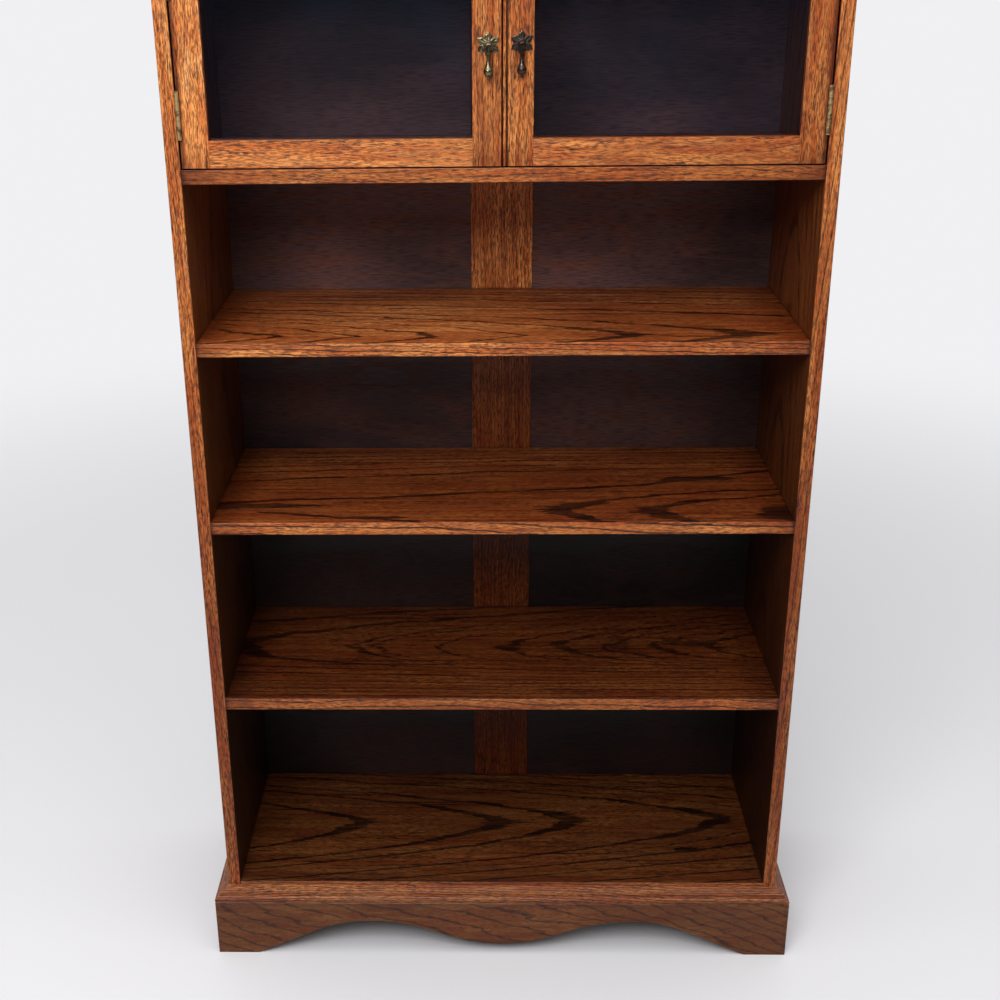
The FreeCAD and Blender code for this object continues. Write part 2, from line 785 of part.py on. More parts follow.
def hinge_section(side):
    sight = SIGHT_OUT[side]
    rebate = f"({sight} + glass_rebate_width)"
    corners = [(HINGE_EDGE, "0"), (HINGE_EDGE, "door_thickness"), (rebate, "door_thickness"),
               (rebate, LIP_Y), (sight, LIP_Y), (sight, "0")]
    return corners if side == "right" else mirrored(corners)


def rail_levels(rail):
    """Outer edge, sight edge and rebate edge of a rail, and the span of its tenons."""
    if rail == "bottom":
        edge, sign = DOOR_BOTTOM, "+"
    else:
        edge, sign = DOOR_TOP, "-"
    sight = f"({edge} {sign} rail_width)"
    rebate = f"({edge} {sign} (rail_width - glass_rebate_width))"
    tenon = (f"({edge} {sign} tenon_inset)", f"({rebate} {sign} -tenon_inset)")
    order = (lambda pair: pair) if rail == "bottom" else (lambda pair: (pair[1], pair[0]))
    return order((edge, sight)), order((edge, rebate)), order(tenon)


def tenons(side, rail):
    _, _, zs = rail_levels(rail)
    ys = ("(door_thickness - tenon_thickness) / 2", "(door_thickness + tenon_thickness) / 2")
    inner = across(side, f"{SIGHT_IN[side]} - tenon_length", SIGHT_IN[side])
    outer = across(side, SIGHT_OUT[side], f"{SIGHT_OUT[side]} + tenon_length")
    return (block(f"{rail}_tenon_in_{side}", inner, ys, zs),
            block(f"{rail}_tenon_out_{side}", outer, ys, zs))


def rail_board(side, rail, ends):
    """A rail: its back part is longer than its front, to fill the rebates of the stiles."""
    front_zs, back_zs, _ = rail_levels(rail)
    near, far = SIGHT_IN[side], SIGHT_OUT[side]
    front = block(f"{rail}_rail_front_{side}", across(side, near, far), ("0", LIP_Y), front_zs)
    longer = across(side, f"{near} - glass_rebate_width", f"{far} + glass_rebate_width")
    back = block(f"{rail}_rail_back_{side}", longer, (LIP_Y, "door_thickness"), back_zs)
    return node(fuse(f"{rail}_rail_{side}", [front, back, *ends]))


def stiles(side, mortises, screws, stem, barrel_hole):
    height = f"{DOOR_TOP} - {DOOR_BOTTOM}"
    meeting = body(f"meeting_stile_{side}_board", z=DOOR_BOTTOM)
    pad(meeting, outline(sketch(meeting, "XY_Plane"), meeting_section(side)), height)
    inner_mortises = [pair[0] for pair in mortises]
    node(cut(f"meeting_stile_{side}", meeting, [*inner_mortises, stem, barrel_hole]))

    hanging = body(f"hinge_stile_{side}_board", z=DOOR_BOTTOM)
    pad(hanging, outline(sketch(hanging, "XY_Plane"), hinge_section(side)), height)
    tools = [pair[1] for pair in mortises] + screws
    xs = across(side, f"{AXIS_X} - knuckle_radius", INNER)
    for place_name, level in hinge_levels():
        zs = (f"{level} - recess_gap", f"{level} + hinge_length + recess_gap")
        tools.append(block(f"leaf_recess_{side}_{place_name}", xs,
                           ("-knuckle_radius", f"{LEAF_Y} + leaf_width + recess_gap"), zs))
    node(cut(f"hinge_stile_{side}", hanging, tools))


def glazing(side):
    """The pane against the front lip, and four mitred beads that hold it from behind."""
    near, far = SIGHT_IN[side], SIGHT_OUT[side]
    xs = across(side, f"{near} - glass_rebate_width + glass_gap",
                f"{far} + glass_rebate_width - glass_gap")
    low = f"({DOOR_BOTTOM} + rail_width)"
    high = f"({DOOR_TOP} - rail_width)"
    spread = "(glass_rebate_width - glass_gap)"
    node(block(f"glass_{side}", xs, (LIP_Y, f"{LIP_Y} + glass_thickness"),
               (f"{low} - {spread}", f"{high} + {spread}")))
    inner = (near, far, low, high)
    outer = (f"({near} - glass_rebate_width)", f"({far} + glass_rebate_width)",
             f"({low} - glass_rebate_width)", f"({high} + glass_rebate_width)")

    def corner(rectangle_sides, column, line):
        return rectangle_sides[column], rectangle_sides[line]

    ring = ((0, 2), (1, 2), (1, 3), (0, 3))
    strips = []
    for index, start in enumerate(ring):
        end = ring[(index + 1) % 4]
        corners = [corner(outer, *start), corner(outer, *end), corner(inner, *end), corner(inner, *start)]
        strip = body(f"glazing_bead_{side}_{index + 1}", y="door_thickness")
        plane = sketch(strip, "XZ_Plane")
        outline(plane, corners if side == "right" else mirrored(corners))
        pad(strip, plane, "glass_rebate_depth - glass_thickness")
        strips.append(strip)
    return node(group(f"glazing_beads_{side}", strips))


# ---------------------------------------------------------------------------------------------
# The hinges
# ---------------------------------------------------------------------------------------------


def hinge_leaf(side, leaf, place_name, level, screws):
    """One leaf: a plate and its share of the knuckles, curled round the pin."""
    if leaf == "fixed":
        near, far = f"{AXIS_X} + knuckle_radius - leaf_thickness", f"{AXIS_X} + knuckle_radius"
        own, bore = 0, "pin_radius"
    else:
        near, far = f"{AXIS_X} - knuckle_radius", f"{AXIS_X} - knuckle_radius + leaf_thickness"
        own, bore = 1, "pin_radius + pin_clearance"
    name = f"{leaf}_leaf_{side}_{place_name}"
    xs = across(side, near, far)
    plate_ys = (LEAF_Y, f"{LEAF_Y} + leaf_width")
    parts = [block(name + "_plate", xs, plate_ys, (level, f"{level} + hinge_length"))]
    pitch = f"(hinge_length / {KNUCKLES})"
    axis_x = at_side(side, AXIS_X)
    for index in range(own, KNUCKLES, 2):
        bottom = f"{level} + {pitch} * {index} + knuckle_gap / 2"
        top = f"{level} + {pitch} * {index + 1} - knuckle_gap / 2"
        web = ("-axis_forward", f"{LEAF_Y} + leaf_thickness")
        parts.append(block(f"{name}_web_{index}", xs, web, (bottom, top)))
        parts.append(rod(f"{name}_knuckle_{index}", "knuckle_radius", f"{pitch} - knuckle_gap",
                         (axis_x, "-axis_forward", bottom), Z_AXIS))
    hole = rod(name + "_bore", bore, "hinge_length", (axis_x, "-axis_forward", level), Z_AXIS)
    return cut(name, fuse(name + "_blank", parts), [hole, *screws])


def hinges(side, fixed_screws, moving_screws):
    leaves = {"fixed": [], "moving": []}
    pins = []
    for place_name, level in hinge_levels():
        start = (at_side(side, AXIS_X), "-axis_forward", level)
        pins.append(rod(f"hinge_pin_{side}_{place_name}", "pin_radius", "hinge_length", start, Z_AXIS))
        for leaf, screws in (("fixed", fixed_screws), ("moving", moving_screws)):
            own = [s for s in screws if place_name in s.Label]
            leaves[leaf].append(hinge_leaf(side, leaf, place_name, level, own))
    node(group(f"hinge_leaves_fixed_{side}", leaves["fixed"]))
    node(group(f"hinge_leaves_moving_{side}", leaves["moving"]))
    node(group(f"hinge_pins_{side}", pins))
    node(group(f"hinge_screws_moving_{side}", moving_screws))


# ---------------------------------------------------------------------------------------------
# The pulls
# ---------------------------------------------------------------------------------------------


def pull_place(side):
    x = at_side(side, f"{MEETING_EDGE} + pull_inset_{side}")
    return x, f"({DOOR_BOTTOM} + {DOOR_TOP}) / 2 - pull_drop_{side}_door"


def pull_stem(side):
    """The threaded stem that runs through the stile and its nut."""
    x, z = pull_place(side)
    length = "door_thickness + nut_height + stem_past_nut"
    return rod(f"pull_stem_{side}", "stem_radius", length, (x, "0", z), Y_AXIS)


def pull_plate(side):
    """A star of leaf-shaped petals with a low round boss in the middle."""
    x, z = pull_place(side)
    plate = body(f"pull_plate_{side}_star", x=x, z=f"{z} + plate_rise")
    pad(plate, circle(sketch(plate, "XZ_Plane"), "plate_core_radius"), "plate_thickness")
    petal_sketch = sketch(plate, "XZ_Plane")
    outline(petal_sketch, [
        ("petal_half_width", "petal_root", "petal_curve", -1),
        ("0", "plate_radius", "petal_curve", -1),
        ("-petal_half_width", "petal_root"),
    ])
    petal = pad(plate, petal_sketch, "plate_thickness")
    DOC.recompute()
    star = plate.newObject("PartDesign::PolarPattern", f"pull_plate_{side}_petals")
    star.Originals = [petal]
    star.Axis = (petal_sketch, ["N_Axis"])
    star.Angle = 360
    star.Occurrences = PETALS
    plate.Tip = star
    pad(plate, circle(sketch(plate, "XZ_Plane"), "boss_radius"), "plate_thickness + boss_height")
    hole = rod(f"pull_plate_hole_{side}", "stem_radius", "plate_thickness + boss_height",
               (x, "0", z), -Y_AXIS)
    return node(cut(f"pull_plate_{side}", plate, [hole]))


def pull_post(side, stem):
    """A ball head on a neck, slotted for the pendant, with its stem through plate and stile."""
    x, z = pull_place(side)
    plate_top = "plate_thickness + boss_height"
    head = ball(f"pull_head_{side}", "head_radius", (x, "-head_forward", z))
    neck = rod(f"pull_neck_{side}", "neck_post_radius", f"head_forward - ({plate_top})",
               (x, "-head_forward", z), Y_AXIS)
    inner_stem = rod(f"pull_stem_front_{side}", "stem_radius", plate_top, (x, f"-({plate_top})", z), Y_AXIS)
    slot_half = "(tongue_thickness / 2 + slot_gap)"
    reach = "head_radius + slot_gap"
    slot = block(f"pull_slot_{side}", (f"{x} - {slot_half}", f"{x} + {slot_half}"),
                 (f"-head_forward - ({reach})", "-head_forward + tongue_radius + 2 * slot_gap"),
                 (f"{z} - ({reach})", f"{z} + tongue_radius + slot_gap"))
    mouth = rod(f"pull_mouth_{side}", "mouth_radius", "mouth_depth",
                (x, "-head_forward - head_radius", f"{z} - mouth_fall"), Y_AXIS)
    pin = pull_pin(side)
    return node(cut(f"pull_post_{side}", fuse(f"pull_post_blank_{side}", [head, neck, inner_stem, stem]),
                    [slot, mouth, pin]))


def pull_pin(side):
    x, z = pull_place(side)
    return node(rod(f"pull_pin_{side}", "pull_pin_radius", "pull_pin_length",
                    (f"{x} - pull_pin_length / 2", "-head_forward", z), X_AXIS))


def pull_nut(side, stem):
    x, z = pull_place(side)
    blank = add("Part::Prism", f"pull_nut_blank_{side}")
    blank.Polygon = 6
    blank.Placement = FreeCAD.Placement(Vector(), FreeCAD.Rotation(Z_AXIS, Y_AXIS))
    bind(blank, "Circumradius", "nut_radius")
    bind(blank, "Height", "nut_height")
    place(blank, x, "door_thickness", z)
    return node(cut(f"pull_nut_{side}", blank, [stem]))


def pull_drop(side):
    """The pear-shaped pendant: a turned piece under a flat tongue that hangs on the pin."""
    x, z = pull_place(side)
    turned = body(f"pull_drop_turned_{side}", x=x, y="-head_forward", z=z)
    section = sketch(turned, "XZ_Plane")
    shoulder = "sqrt(bulb_radius ^ 2 - bulb_shoulder ^ 2)"
    bulb_foot = "sqrt(bulb_radius ^ 2 - finial_neck ^ 2)"
    finial_top = "sqrt(finial_radius ^ 2 - finial_neck ^ 2)"
    outline(section, [
        ("0", "-collar_start"),
        ("0", "-drop_length", "finial_radius", -1),
        ("finial_neck", f"finial_radius - drop_length + {finial_top}"),
        ("finial_neck", f"-bulb_drop - {bulb_foot}", "bulb_radius", -1),
        (shoulder, "bulb_shoulder - bulb_drop", "neck_curve", 1),
        ("neck_radius", "-neck_to"),
        ("neck_radius", "-neck_from"),
        ("collar_radius", "-collar_to"),
        ("collar_radius", "-collar_from"),
        ("collar_top_radius", "-collar_start"),
    ])
    spin = turned.newObject("PartDesign::Revolution", f"pull_drop_revolution_{side}")
    spin.Profile = section
    spin.ReferenceAxis = (section, ["V_Axis"])
    spin.Angle = 360
    half = "tongue_thickness / 2"
    tongue = block(f"pull_tongue_{side}", (f"{x} - {half}", f"{x} + {half}"),
                   ("-head_forward - tongue_radius", "-head_forward + tongue_radius"),
                   (f"{z} - collar_start", z))
    eye = rod(f"pull_eye_{side}", "tongue_radius", "tongue_thickness",
              (f"{x} - {half}", "-head_forward", z), X_AXIS)
    hole = rod(f"pull_eye_hole_{side}", "pull_pin_radius + pin_clearance", "tongue_thickness",
               (f"{x} - {half}", "-head_forward", z), X_AXIS)
    blank = fuse(f"pull_drop_blank_{side}", [turned, tongue, eye])
    return node(cut(f"pull_drop_{side}", blank, [hole]))


# ---------------------------------------------------------------------------------------------
# The ball catches
# ---------------------------------------------------------------------------------------------


def catch_barrel(side):
    """A brass barrel in the top end of the meeting stile, with a lip that keeps its ball in."""
    x = at_side(side, CATCH_X)
    bore_radius = "ball_radius + ball_clearance"
    ball_z = f"({DOOR_TOP} + {BALL_RISE} - ball_radius)"
    outside = rod(f"catch_hole_{side}", "barrel_radius", "barrel_length",
                  (x, CATCH_Y, f"{DOOR_TOP} - barrel_length"), Z_AXIS)
    bore_start = f"({DOOR_TOP} - barrel_length + barrel_floor)"
    bore = rod(f"catch_bore_{side}", bore_radius, f"{ball_z} - {bore_start}",
               (x, CATCH_Y, bore_start), Z_AXIS)
    lip = cone(f"catch_lip_{side}", bore_radius, "lip_radius", f"{DOOR_TOP} - {ball_z}",
               (x, CATCH_Y, ball_z), Z_AXIS)
    node(cut(f"catch_barrel_{side}", outside, [bore, lip]))
    node(ball(f"catch_ball_{side}", "ball_radius", (x, CATCH_Y, ball_z)))
    return outside


def catch_plate_blank():
    half_length = "catch_plate_length / 2"
    ys = (f"{CATCH_Y} - catch_plate_width / 2", f"{CATCH_Y} + catch_plate_width / 2")
    return block("catch_plate_blank", (f"-{half_length}", half_length), ys,
                 (CEILING, f"{CEILING} + catch_plate_thickness"))


def catch_plate(blank):
    """A brass plate let into the underside of the top, with a hole over each ball."""
    holes = [rod(f"catch_plate_hole_{side}", "catch_hole_radius", "catch_plate_thickness",
                 (at_side(side, CATCH_X), CATCH_Y, CEILING), Z_AXIS) for side in ("left", "right")]
    return node(cut("catch_plate", blank, holes))


# ---------------------------------------------------------------------------------------------
# Assembly
# ---------------------------------------------------------------------------------------------


def build_case():
    dowels = top_dowels()
    nails = panel_nails()
    fixings = muntin_fixings()
    fixed_screws = {side: leaf_screws(side, "fixed") for side in ("left", "right")}
    for side in ("left", "right"):
        side_board(side, [*dowels[side], *nails[side], *fixed_screws[side]])
    for name, level in BOARD_LEVELS:
        shelf_board(name, level, fixings[name])
    plate = catch_plate_blank()
    top_board([*dowels["left"], *dowels["right"]], plate)
    catch_plate(plate)
    back_frame(list(fixings.values()), nails)
    node(group("top_dowels", [*dowels["left"], *dowels["right"]]))
    node(group("back_panel_nails", [*nails["left"], *nails["right"]]))
    node(group("muntin_screws", list(fixings.values())))
    node(group("hinge_screws_fixed", [*fixed_screws["left"], *fixed_screws["right"]]))
    plinth_front()
    moulding_front()
    for side in ("left", "right"):
        plinth_end(side)
        moulding_end(side)
    glue_blocks()
    door_stop()
    return fixed_screws


def build_door(side, fixed_screws):
    mortises = []
    for rail in ("bottom", "top"):
        ends = tenons(side, rail)
        mortises.append(ends)
        rail_board(side, rail, ends)
    moving_screws = leaf_screws(side, "moving")
    stem = pull_stem(side)
    barrel_hole = catch_barrel(side)
    stiles(side, mortises, moving_screws, stem, barrel_hole)
    glazing(side)
    hinges(side, fixed_screws[side], moving_screws)
    pull_plate(side)
    pull_post(side, stem)
    pull_nut(side, stem)
    pull_drop(side)


def check():
    """Stops the script if any object failed or any sub-part isn't a sound solid."""
    failed = [item.Label for item in DOC.Objects if {"Invalid", "Error"} & set(item.State)]
    if failed:
        raise SystemExit(f"these objects failed: {failed}")
    for item in NODES:
        if item.Shape.isNull() or not item.Shape.isValid() or not item.Shape.Solids:
            raise SystemExit(f"{item.Label} isn't a sound solid")


def write():
    os.makedirs("parts", exist_ok=True)
    for item in NODES:
        item.Shape.exportStep(os.path.join("parts", item.Label + ".step"))
    print(len(NODES), "sub-parts written")


SCREWS = build_case()
for door in ("left", "right"):
    build_door(door, SCREWS)
DOC.recompute()
check()
write()
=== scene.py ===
import math

import bmesh
import bpy
from mathutils import Matrix, Vector


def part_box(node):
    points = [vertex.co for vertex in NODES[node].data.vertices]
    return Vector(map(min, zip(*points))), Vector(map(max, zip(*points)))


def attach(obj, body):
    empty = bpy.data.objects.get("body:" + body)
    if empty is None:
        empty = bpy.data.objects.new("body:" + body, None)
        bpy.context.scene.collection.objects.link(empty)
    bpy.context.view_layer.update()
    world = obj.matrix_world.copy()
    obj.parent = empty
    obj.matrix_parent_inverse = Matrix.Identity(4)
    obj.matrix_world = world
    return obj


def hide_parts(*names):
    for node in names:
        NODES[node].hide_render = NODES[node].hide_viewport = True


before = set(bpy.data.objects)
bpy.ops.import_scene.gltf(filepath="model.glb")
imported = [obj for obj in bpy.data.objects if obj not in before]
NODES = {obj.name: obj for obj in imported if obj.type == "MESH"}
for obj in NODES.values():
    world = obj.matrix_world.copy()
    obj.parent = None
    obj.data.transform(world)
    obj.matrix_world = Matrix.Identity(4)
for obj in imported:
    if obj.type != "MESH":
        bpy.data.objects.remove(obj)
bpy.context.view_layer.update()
bpy.context.scene.view_settings.view_transform = "Standard"
SIDES = ("left", "right")
MM = 0.001


def linear(colour):
    """A colour written as it looks on a screen, 0 to 255, as linear RGBA."""
    out = []
    for part in colour:
        part = part / 255
        out.append(part / 12.92 if part <= 0.04045 else ((part + 0.055) / 1.055) ** 2.4)
    return (*out, 1.0)


class Field:
    """A number that varies over a surface. Arithmetic on it adds math nodes to its graph."""

    def __init__(self, graph, socket):
        self.graph = graph
        self.socket = socket

    def do(self, operation, *others):
        node = self.graph.add("ShaderNodeMath", operation=operation)
        for socket, value in zip(node.inputs, (self, *others)):
            self.graph.feed(socket, value)
        return Field(self.graph, node.outputs[0])

    def __add__(self, other):
        return self.do("ADD", other)

    def __sub__(self, other):
        return self.do("SUBTRACT", other)

    def __mul__(self, other):
        return self.do("MULTIPLY", other)

    def __truediv__(self, other):
        return self.do("DIVIDE", other)

    def absolute(self):
        return self.do("ABSOLUTE")

    def inverse(self):
        """One minus the value."""
        return self.do("MULTIPLY_ADD", -1.0, 1.0)

    def step(self, low, high):
        """Eases from 0 at low to 1 at high. low may be the larger of the two."""
        node = self.graph.add("ShaderNodeMapRange", interpolation_type="SMOOTHSTEP")
        for index, value in enumerate((self, low, high, 0.0, 1.0)):
            self.graph.feed(node.inputs[index], value)
        return Field(self.graph, node.outputs[0])


class Graph:
    """One material and the nodes that feed its Principled shader."""

    def __init__(self, name):
        self.material = bpy.data.materials.new(name)
        self.material.use_nodes = True
        self.tree = self.material.node_tree
        self.shader = self.tree.nodes["Principled BSDF"]
        self.output = self.tree.nodes["Material Output"]
        self.place = self.add("ShaderNodeTexCoord").outputs["Object"]
        self.x, self.y, self.z = self.split(self.place)
        self.facing = None

    def faces(self, axis):
        """1 where the surface faces along an axis, 0 where it runs along it."""
        if self.facing is None:
            self.facing = self.split(self.add("ShaderNodeTexCoord").outputs["Normal"])
        return self.facing["XYZ".index(axis)].absolute().step(0.35, 0.75)

    def add(self, kind, **settings):
        node = self.tree.nodes.new(kind)
        for key, value in settings.items():
            setattr(node, key, value)
        return node

    def feed(self, socket, value):
        if isinstance(value, Field):
            value = value.socket
        if isinstance(value, bpy.types.NodeSocket):
            self.tree.links.new(value, socket)
        else:
            socket.default_value = value

    def set(self, **values):
        """Feeds inputs of the shader, named with _ for a space."""
        for name, value in values.items():
            self.feed(self.shader.inputs[name.replace("_", " ")], value)

    def split(self, vector):
        node = self.add("ShaderNodeSeparateXYZ")
        self.feed(node.inputs[0], vector)
        return [Field(self, socket) for socket in node.outputs]

    def join(self, x, y, z):
        node = self.add("ShaderNodeCombineXYZ")
        for socket, value in zip(node.inputs, (x, y, z)):
            self.feed(socket, value)
        return node.outputs[0]

    def noise(self, point, scale=1.0, detail=2.0, roughness=0.5):
        node = self.add("ShaderNodeTexNoise")
        self.feed(node.inputs["Vector"], point)
        node.inputs["Scale"].default_value = scale
        node.inputs["Detail"].default_value = detail
        node.inputs["Roughness"].default_value = roughness
        return Field(self, node.outputs["Fac"])

    def crevice(self, distance, samples=4):
        """0 on open surfaces, rising to 1 deep in corners and joints."""
        node = self.add("ShaderNodeAmbientOcclusion", samples=samples)
        node.inputs["Distance"].default_value = distance
        return Field(self, node.outputs["AO"]).inverse()

    def mix(self, factor, first, second):
        """One shader over another, by factor."""
        node = self.add("ShaderNodeMixShader")
        for socket, value in zip(node.inputs, (factor, first, second)):
            self.feed(socket, value)
        return node.outputs[0]

    def bump(self, height, distance, strength):
        node = self.add("ShaderNodeBump")
        node.inputs["Distance"].default_value = distance
        node.inputs["Strength"].default_value = strength
        self.feed(node.inputs["Height"], height)
        self.set(Normal=node.outputs["Normal"])


def blend(graph, factor, first, second, kind="MIX"):
    """One colour over another, by factor. A Mix node has sockets for several kinds of data."""
    node = graph.add("ShaderNodeMix", data_type="RGBA", blend_type=kind)
    for name, value in (("Factor", factor), ("A", first), ("B", second)):
        graph.feed(next(s for s in node.inputs if s.name == name and s.enabled), value)
    return next(s for s in node.outputs if s.enabled)


# Stained oak, from its gleaming rays to the dirt in its pores.
FLECK = (255, 200, 132)
GOLD = (244, 156, 84)
AMBER = (212, 114, 54)
RUSSET = (152, 66, 28)
MAUVE = (126, 76, 60)
STREAK = (108, 44, 18)
UMBER = (54, 22, 9)
PORE = (28, 12, 7)

# Stained plywood, and what lies on it.
PLY_DARK = (56, 40, 42)
PLY_PALE = (140, 98, 94)
PLY_CONTOUR = (142, 84, 60)
PLY_GROOVE = (24, 16, 16)
DUST = (130, 116, 108)

# What the eye sees of the studio beyond the floor.
BACKDROP = (240, 240, 243)


class Vees:
    """The pointed rings of a board cut near the log's face.

    They run along the heart, a line that starts at heart across the board and drifts by tilt
    per metre. flow is 1 where they point along the axis and -1 where they point back. Each side
    falls away from a tip as lean times the distance from the heart, plus a power of it over
    reach. tips are where the rings meet the heart, each with its dark band's width along the
    board. rows are how far from the heart the outer rings cross the board's middle, below zero
    on its lower side, each with its band's thickness across the board.
    """

    def __init__(self, heart, tips, rows, high=(1.5, 0.167, 2.0), low=(0.6, 0.174, 2.0),
                 tilt=0.0, flow=1):
        self.heart, self.tilt, self.flow = heart, tilt, flow
        self.high, self.low = high, low
        self.lines = list(tips)
        for far, thick in rows:
            lean, reach, power = high if far > 0 else low
            share = abs(far) / reach
            steepness = lean + power / reach * share ** (power - 1)
            self.lines.append((lean * abs(far) + share ** power, thick * steepness))

    def fall(self, apart, side):
        lean, reach, power = side
        return apart * lean + (apart / reach).do("POWER", power)

    def read(self, along, across, jitter):
        """How far past the last line a point lies, that line's width, and the way to the heart."""
        off = across - along * self.tilt - self.heart
        upper, lower = off.do("MAXIMUM", 0.0), (off * -1.0).do("MAXIMUM", 0.0)
        place = along * self.flow + self.fall(upper, self.high) + self.fall(lower, self.low)
        place = place + jitter
        base, width = self.lines[0]
        for (near, narrow), (far, broad) in zip(self.lines, self.lines[1:]):
            beyond = place.do("GREATER_THAN", far)
            base = beyond.do("MULTIPLY_ADD", far - near, base)
            width = beyond.do("MULTIPLY_ADD", broad - narrow, width)
        return place - base, width, off.absolute()


def oak(name, middle, grain, seed, pith=(0.1, 0.5), slope=0.03, spacing=0.005, light=1.0,
        face=1.0, red=0.5, band=0.92, dash=0.85, face_dash=0.85, ripple=1.0, sway=1.0, tilt=0.0,
        warm=1.0, face_warm=None, fleck=0.10, vees=None, streaks=(), blots=(), rubs_and_sheen=(), shade=()):
    """Oak cut from a log. grain names the axes along, across and into the board.

    middle is how far the board's core lies from the case's own middle, along the last of them.
    pith is where the log's middle lies, across and into the board, in metres. slope is how far
    it drifts inwards per metre along the board, and tilt how far it drifts across. Rings are
    spacing apart. vees takes the place of all these on the board's wide faces. sway is how
    widely the figure bends, and ripple how finely it shivers.

    light scales the whole board's tone and face that of its wide faces. warm makes what is
    dark redder, and face_warm does so on the wide faces. red is the strength of the russet
    patches, band of the dark rings, dash of the pores and face_dash of those on the wide
    faces. fleck is how much the rays gleam.

    streaks lists lone dark lines (along, across, along, across, thickness), blots dark stains
    (along, across, half length, half width, strength), rubs places worn bright,
    with a painted sheen on them (the same, by gain), and shade fades (axis, clear, dark, share,
    where). where is all, faces, edges or inside, the wide face towards the case's middle. A
    share below zero brightens instead.
    """
    g = Graph(name)
    axes = dict(X=g.x, Y=g.y, Z=g.z)
    along, across, deep = (axes[letter] for letter in grain)
    wide = g.faces(grain[2])

    def stretched(long_scale, wide_scale, shift=0.0):
        """A point with so many marks to the metre along the grain, and so many across it."""
        return g.join(along * long_scale + seed * 7.3 + shift, across * wide_scale + seed,
                      deep * wide_scale)

    def oval(spot_along, spot_across, half_length, half_width):
        """0 in the middle of an oval spot, 1 on its edge and more beyond it."""
        return ((along - spot_along) / half_length).do("POWER", 2.0) + (
            (across - spot_across) / half_width).do("POWER", 2.0)

    bend = g.noise(stretched(2.0, 3.0), detail=1.0) - 0.5
    drift = g.noise(stretched(2.6, 4.0, 31.0), detail=1.0) - 0.5
    shiver = g.noise(stretched(16.0, 55.0, 57.0), detail=3.0) - 0.5
    fringe = g.noise(stretched(22.0, 330.0, 67.0), detail=2.0) - 0.5
    sideways = across + along * tilt + bend * (0.05 * sway) - pith[0]
    inwards = deep + along * slope + drift * (0.012 * sway) - pith[1]
    radius = (sideways * sideways + inwards * inwards).do("SQRT") + shiver * (0.0045 * ripple)
    turns = radius / spacing
    phase = turns.do("FRACT")
    rim = phase.step(0.30, 0.05) * phase.step(0.0, 0.03)
    which_ring = g.join(turns.do("FLOOR") * 3.7, seed, 0.0)
    ring_strength = g.noise(which_ring, detail=0.0).step(0.25, 0.6)
    rim = rim * (ring_strength * 0.4 + 0.6)
    if vees:
        jitter = shiver * (0.055 * ripple) + fringe * 0.03 + bend * (0.03 * sway)
        swayed = across + drift * (0.03 * sway) + shiver * 0.006
        since, width, off = vees.read(along, swayed, jitter)
        ragged = off.step(0.050, 0.0) * (fringe.step(-0.16, 0.16) * 1.1 + 0.1) + 1.05
        rim_wide = since.do("GREATER_THAN", 0.0) * (since / (width * ragged)).step(1.15, 0.35)
        rim = rim + wide * (rim_wide - rim)
        threads = g.noise(g.join(along * 3.0 + seed, (across + shiver * 0.006) * 230.0, seed),
                          detail=2.0, roughness=0.6).step(0.53, 0.64)
        rim = rim.do("MAXIMUM", threads * wide * 0.42)
    for from_along, from_across, to_along, to_across, thick in streaks:
        lean = (to_across - from_across) / (to_along - from_along)
        line = (along - from_along) * lean + from_across
        apart = (across - line + shiver * 0.014 + bend * 0.02).absolute()
        start = along.step(from_along - 0.01, from_along + 0.02)
        stop = along.step(to_along + 0.01, to_along - 0.02)
        rim = rim.do("MAXIMUM", apart.step(thick * 0.65, thick * 0.35) * (start * stop) * wide)
    for *spot, strength in blots:
        away = oval(*spot) + fringe * 1.6 + shiver * 2.0
        rim = rim.do("MAXIMUM", away.step(1.25, 0.45) * wide * strength)

    def fibres(long_scale, wide_scale, shift, weave):
        """Marks that run with the grain and weave a little to either side."""
        return g.join(along * long_scale + seed * 7.3 + shift,
                      (across + shiver * (weave * ripple)) * wide_scale + seed,
                      (deep + shiver * (weave * ripple)) * wide_scale)

    strands = g.noise(fibres(7.0, 130.0, 11.0, 0.006), detail=3.0, roughness=0.6).step(0.38, 0.62)
    dashes = g.noise(fibres(105.0, 700.0, 23.0, 0.005), detail=2.0, roughness=0.6).step(0.47, 0.60)
    pores = g.noise(fibres(110.0, 980.0, 47.0, 0.005), detail=1.0).step(0.50, 0.62)
    grit = g.noise(fibres(55.0, 480.0, 59.0, 0.004), detail=2.0, roughness=0.6) - 0.5
    bruise = g.noise(fibres(13.0, 120.0, 97.0, 0.010), detail=3.0, roughness=0.6).step(0.48, 0.66)
    cloud = g.noise(stretched(2.2, 9.0, 71.0), detail=2.0)
    patch = g.noise(stretched(7.0, 26.0, 83.0), detail=2.0)

    dark_lines = (rim + grit * 1.2).step(0.16, 0.60) * (strands.inverse() * 0.25 + 0.75)
    crowd = (rim * 0.7 + patch.step(0.65, 0.35) * 0.5 + 0.25).do("MINIMUM", 1.0)
    marked = wide * (face_dash - dash) + dash
    specks = pores * (crowd * 0.6 + 0.25) * marked

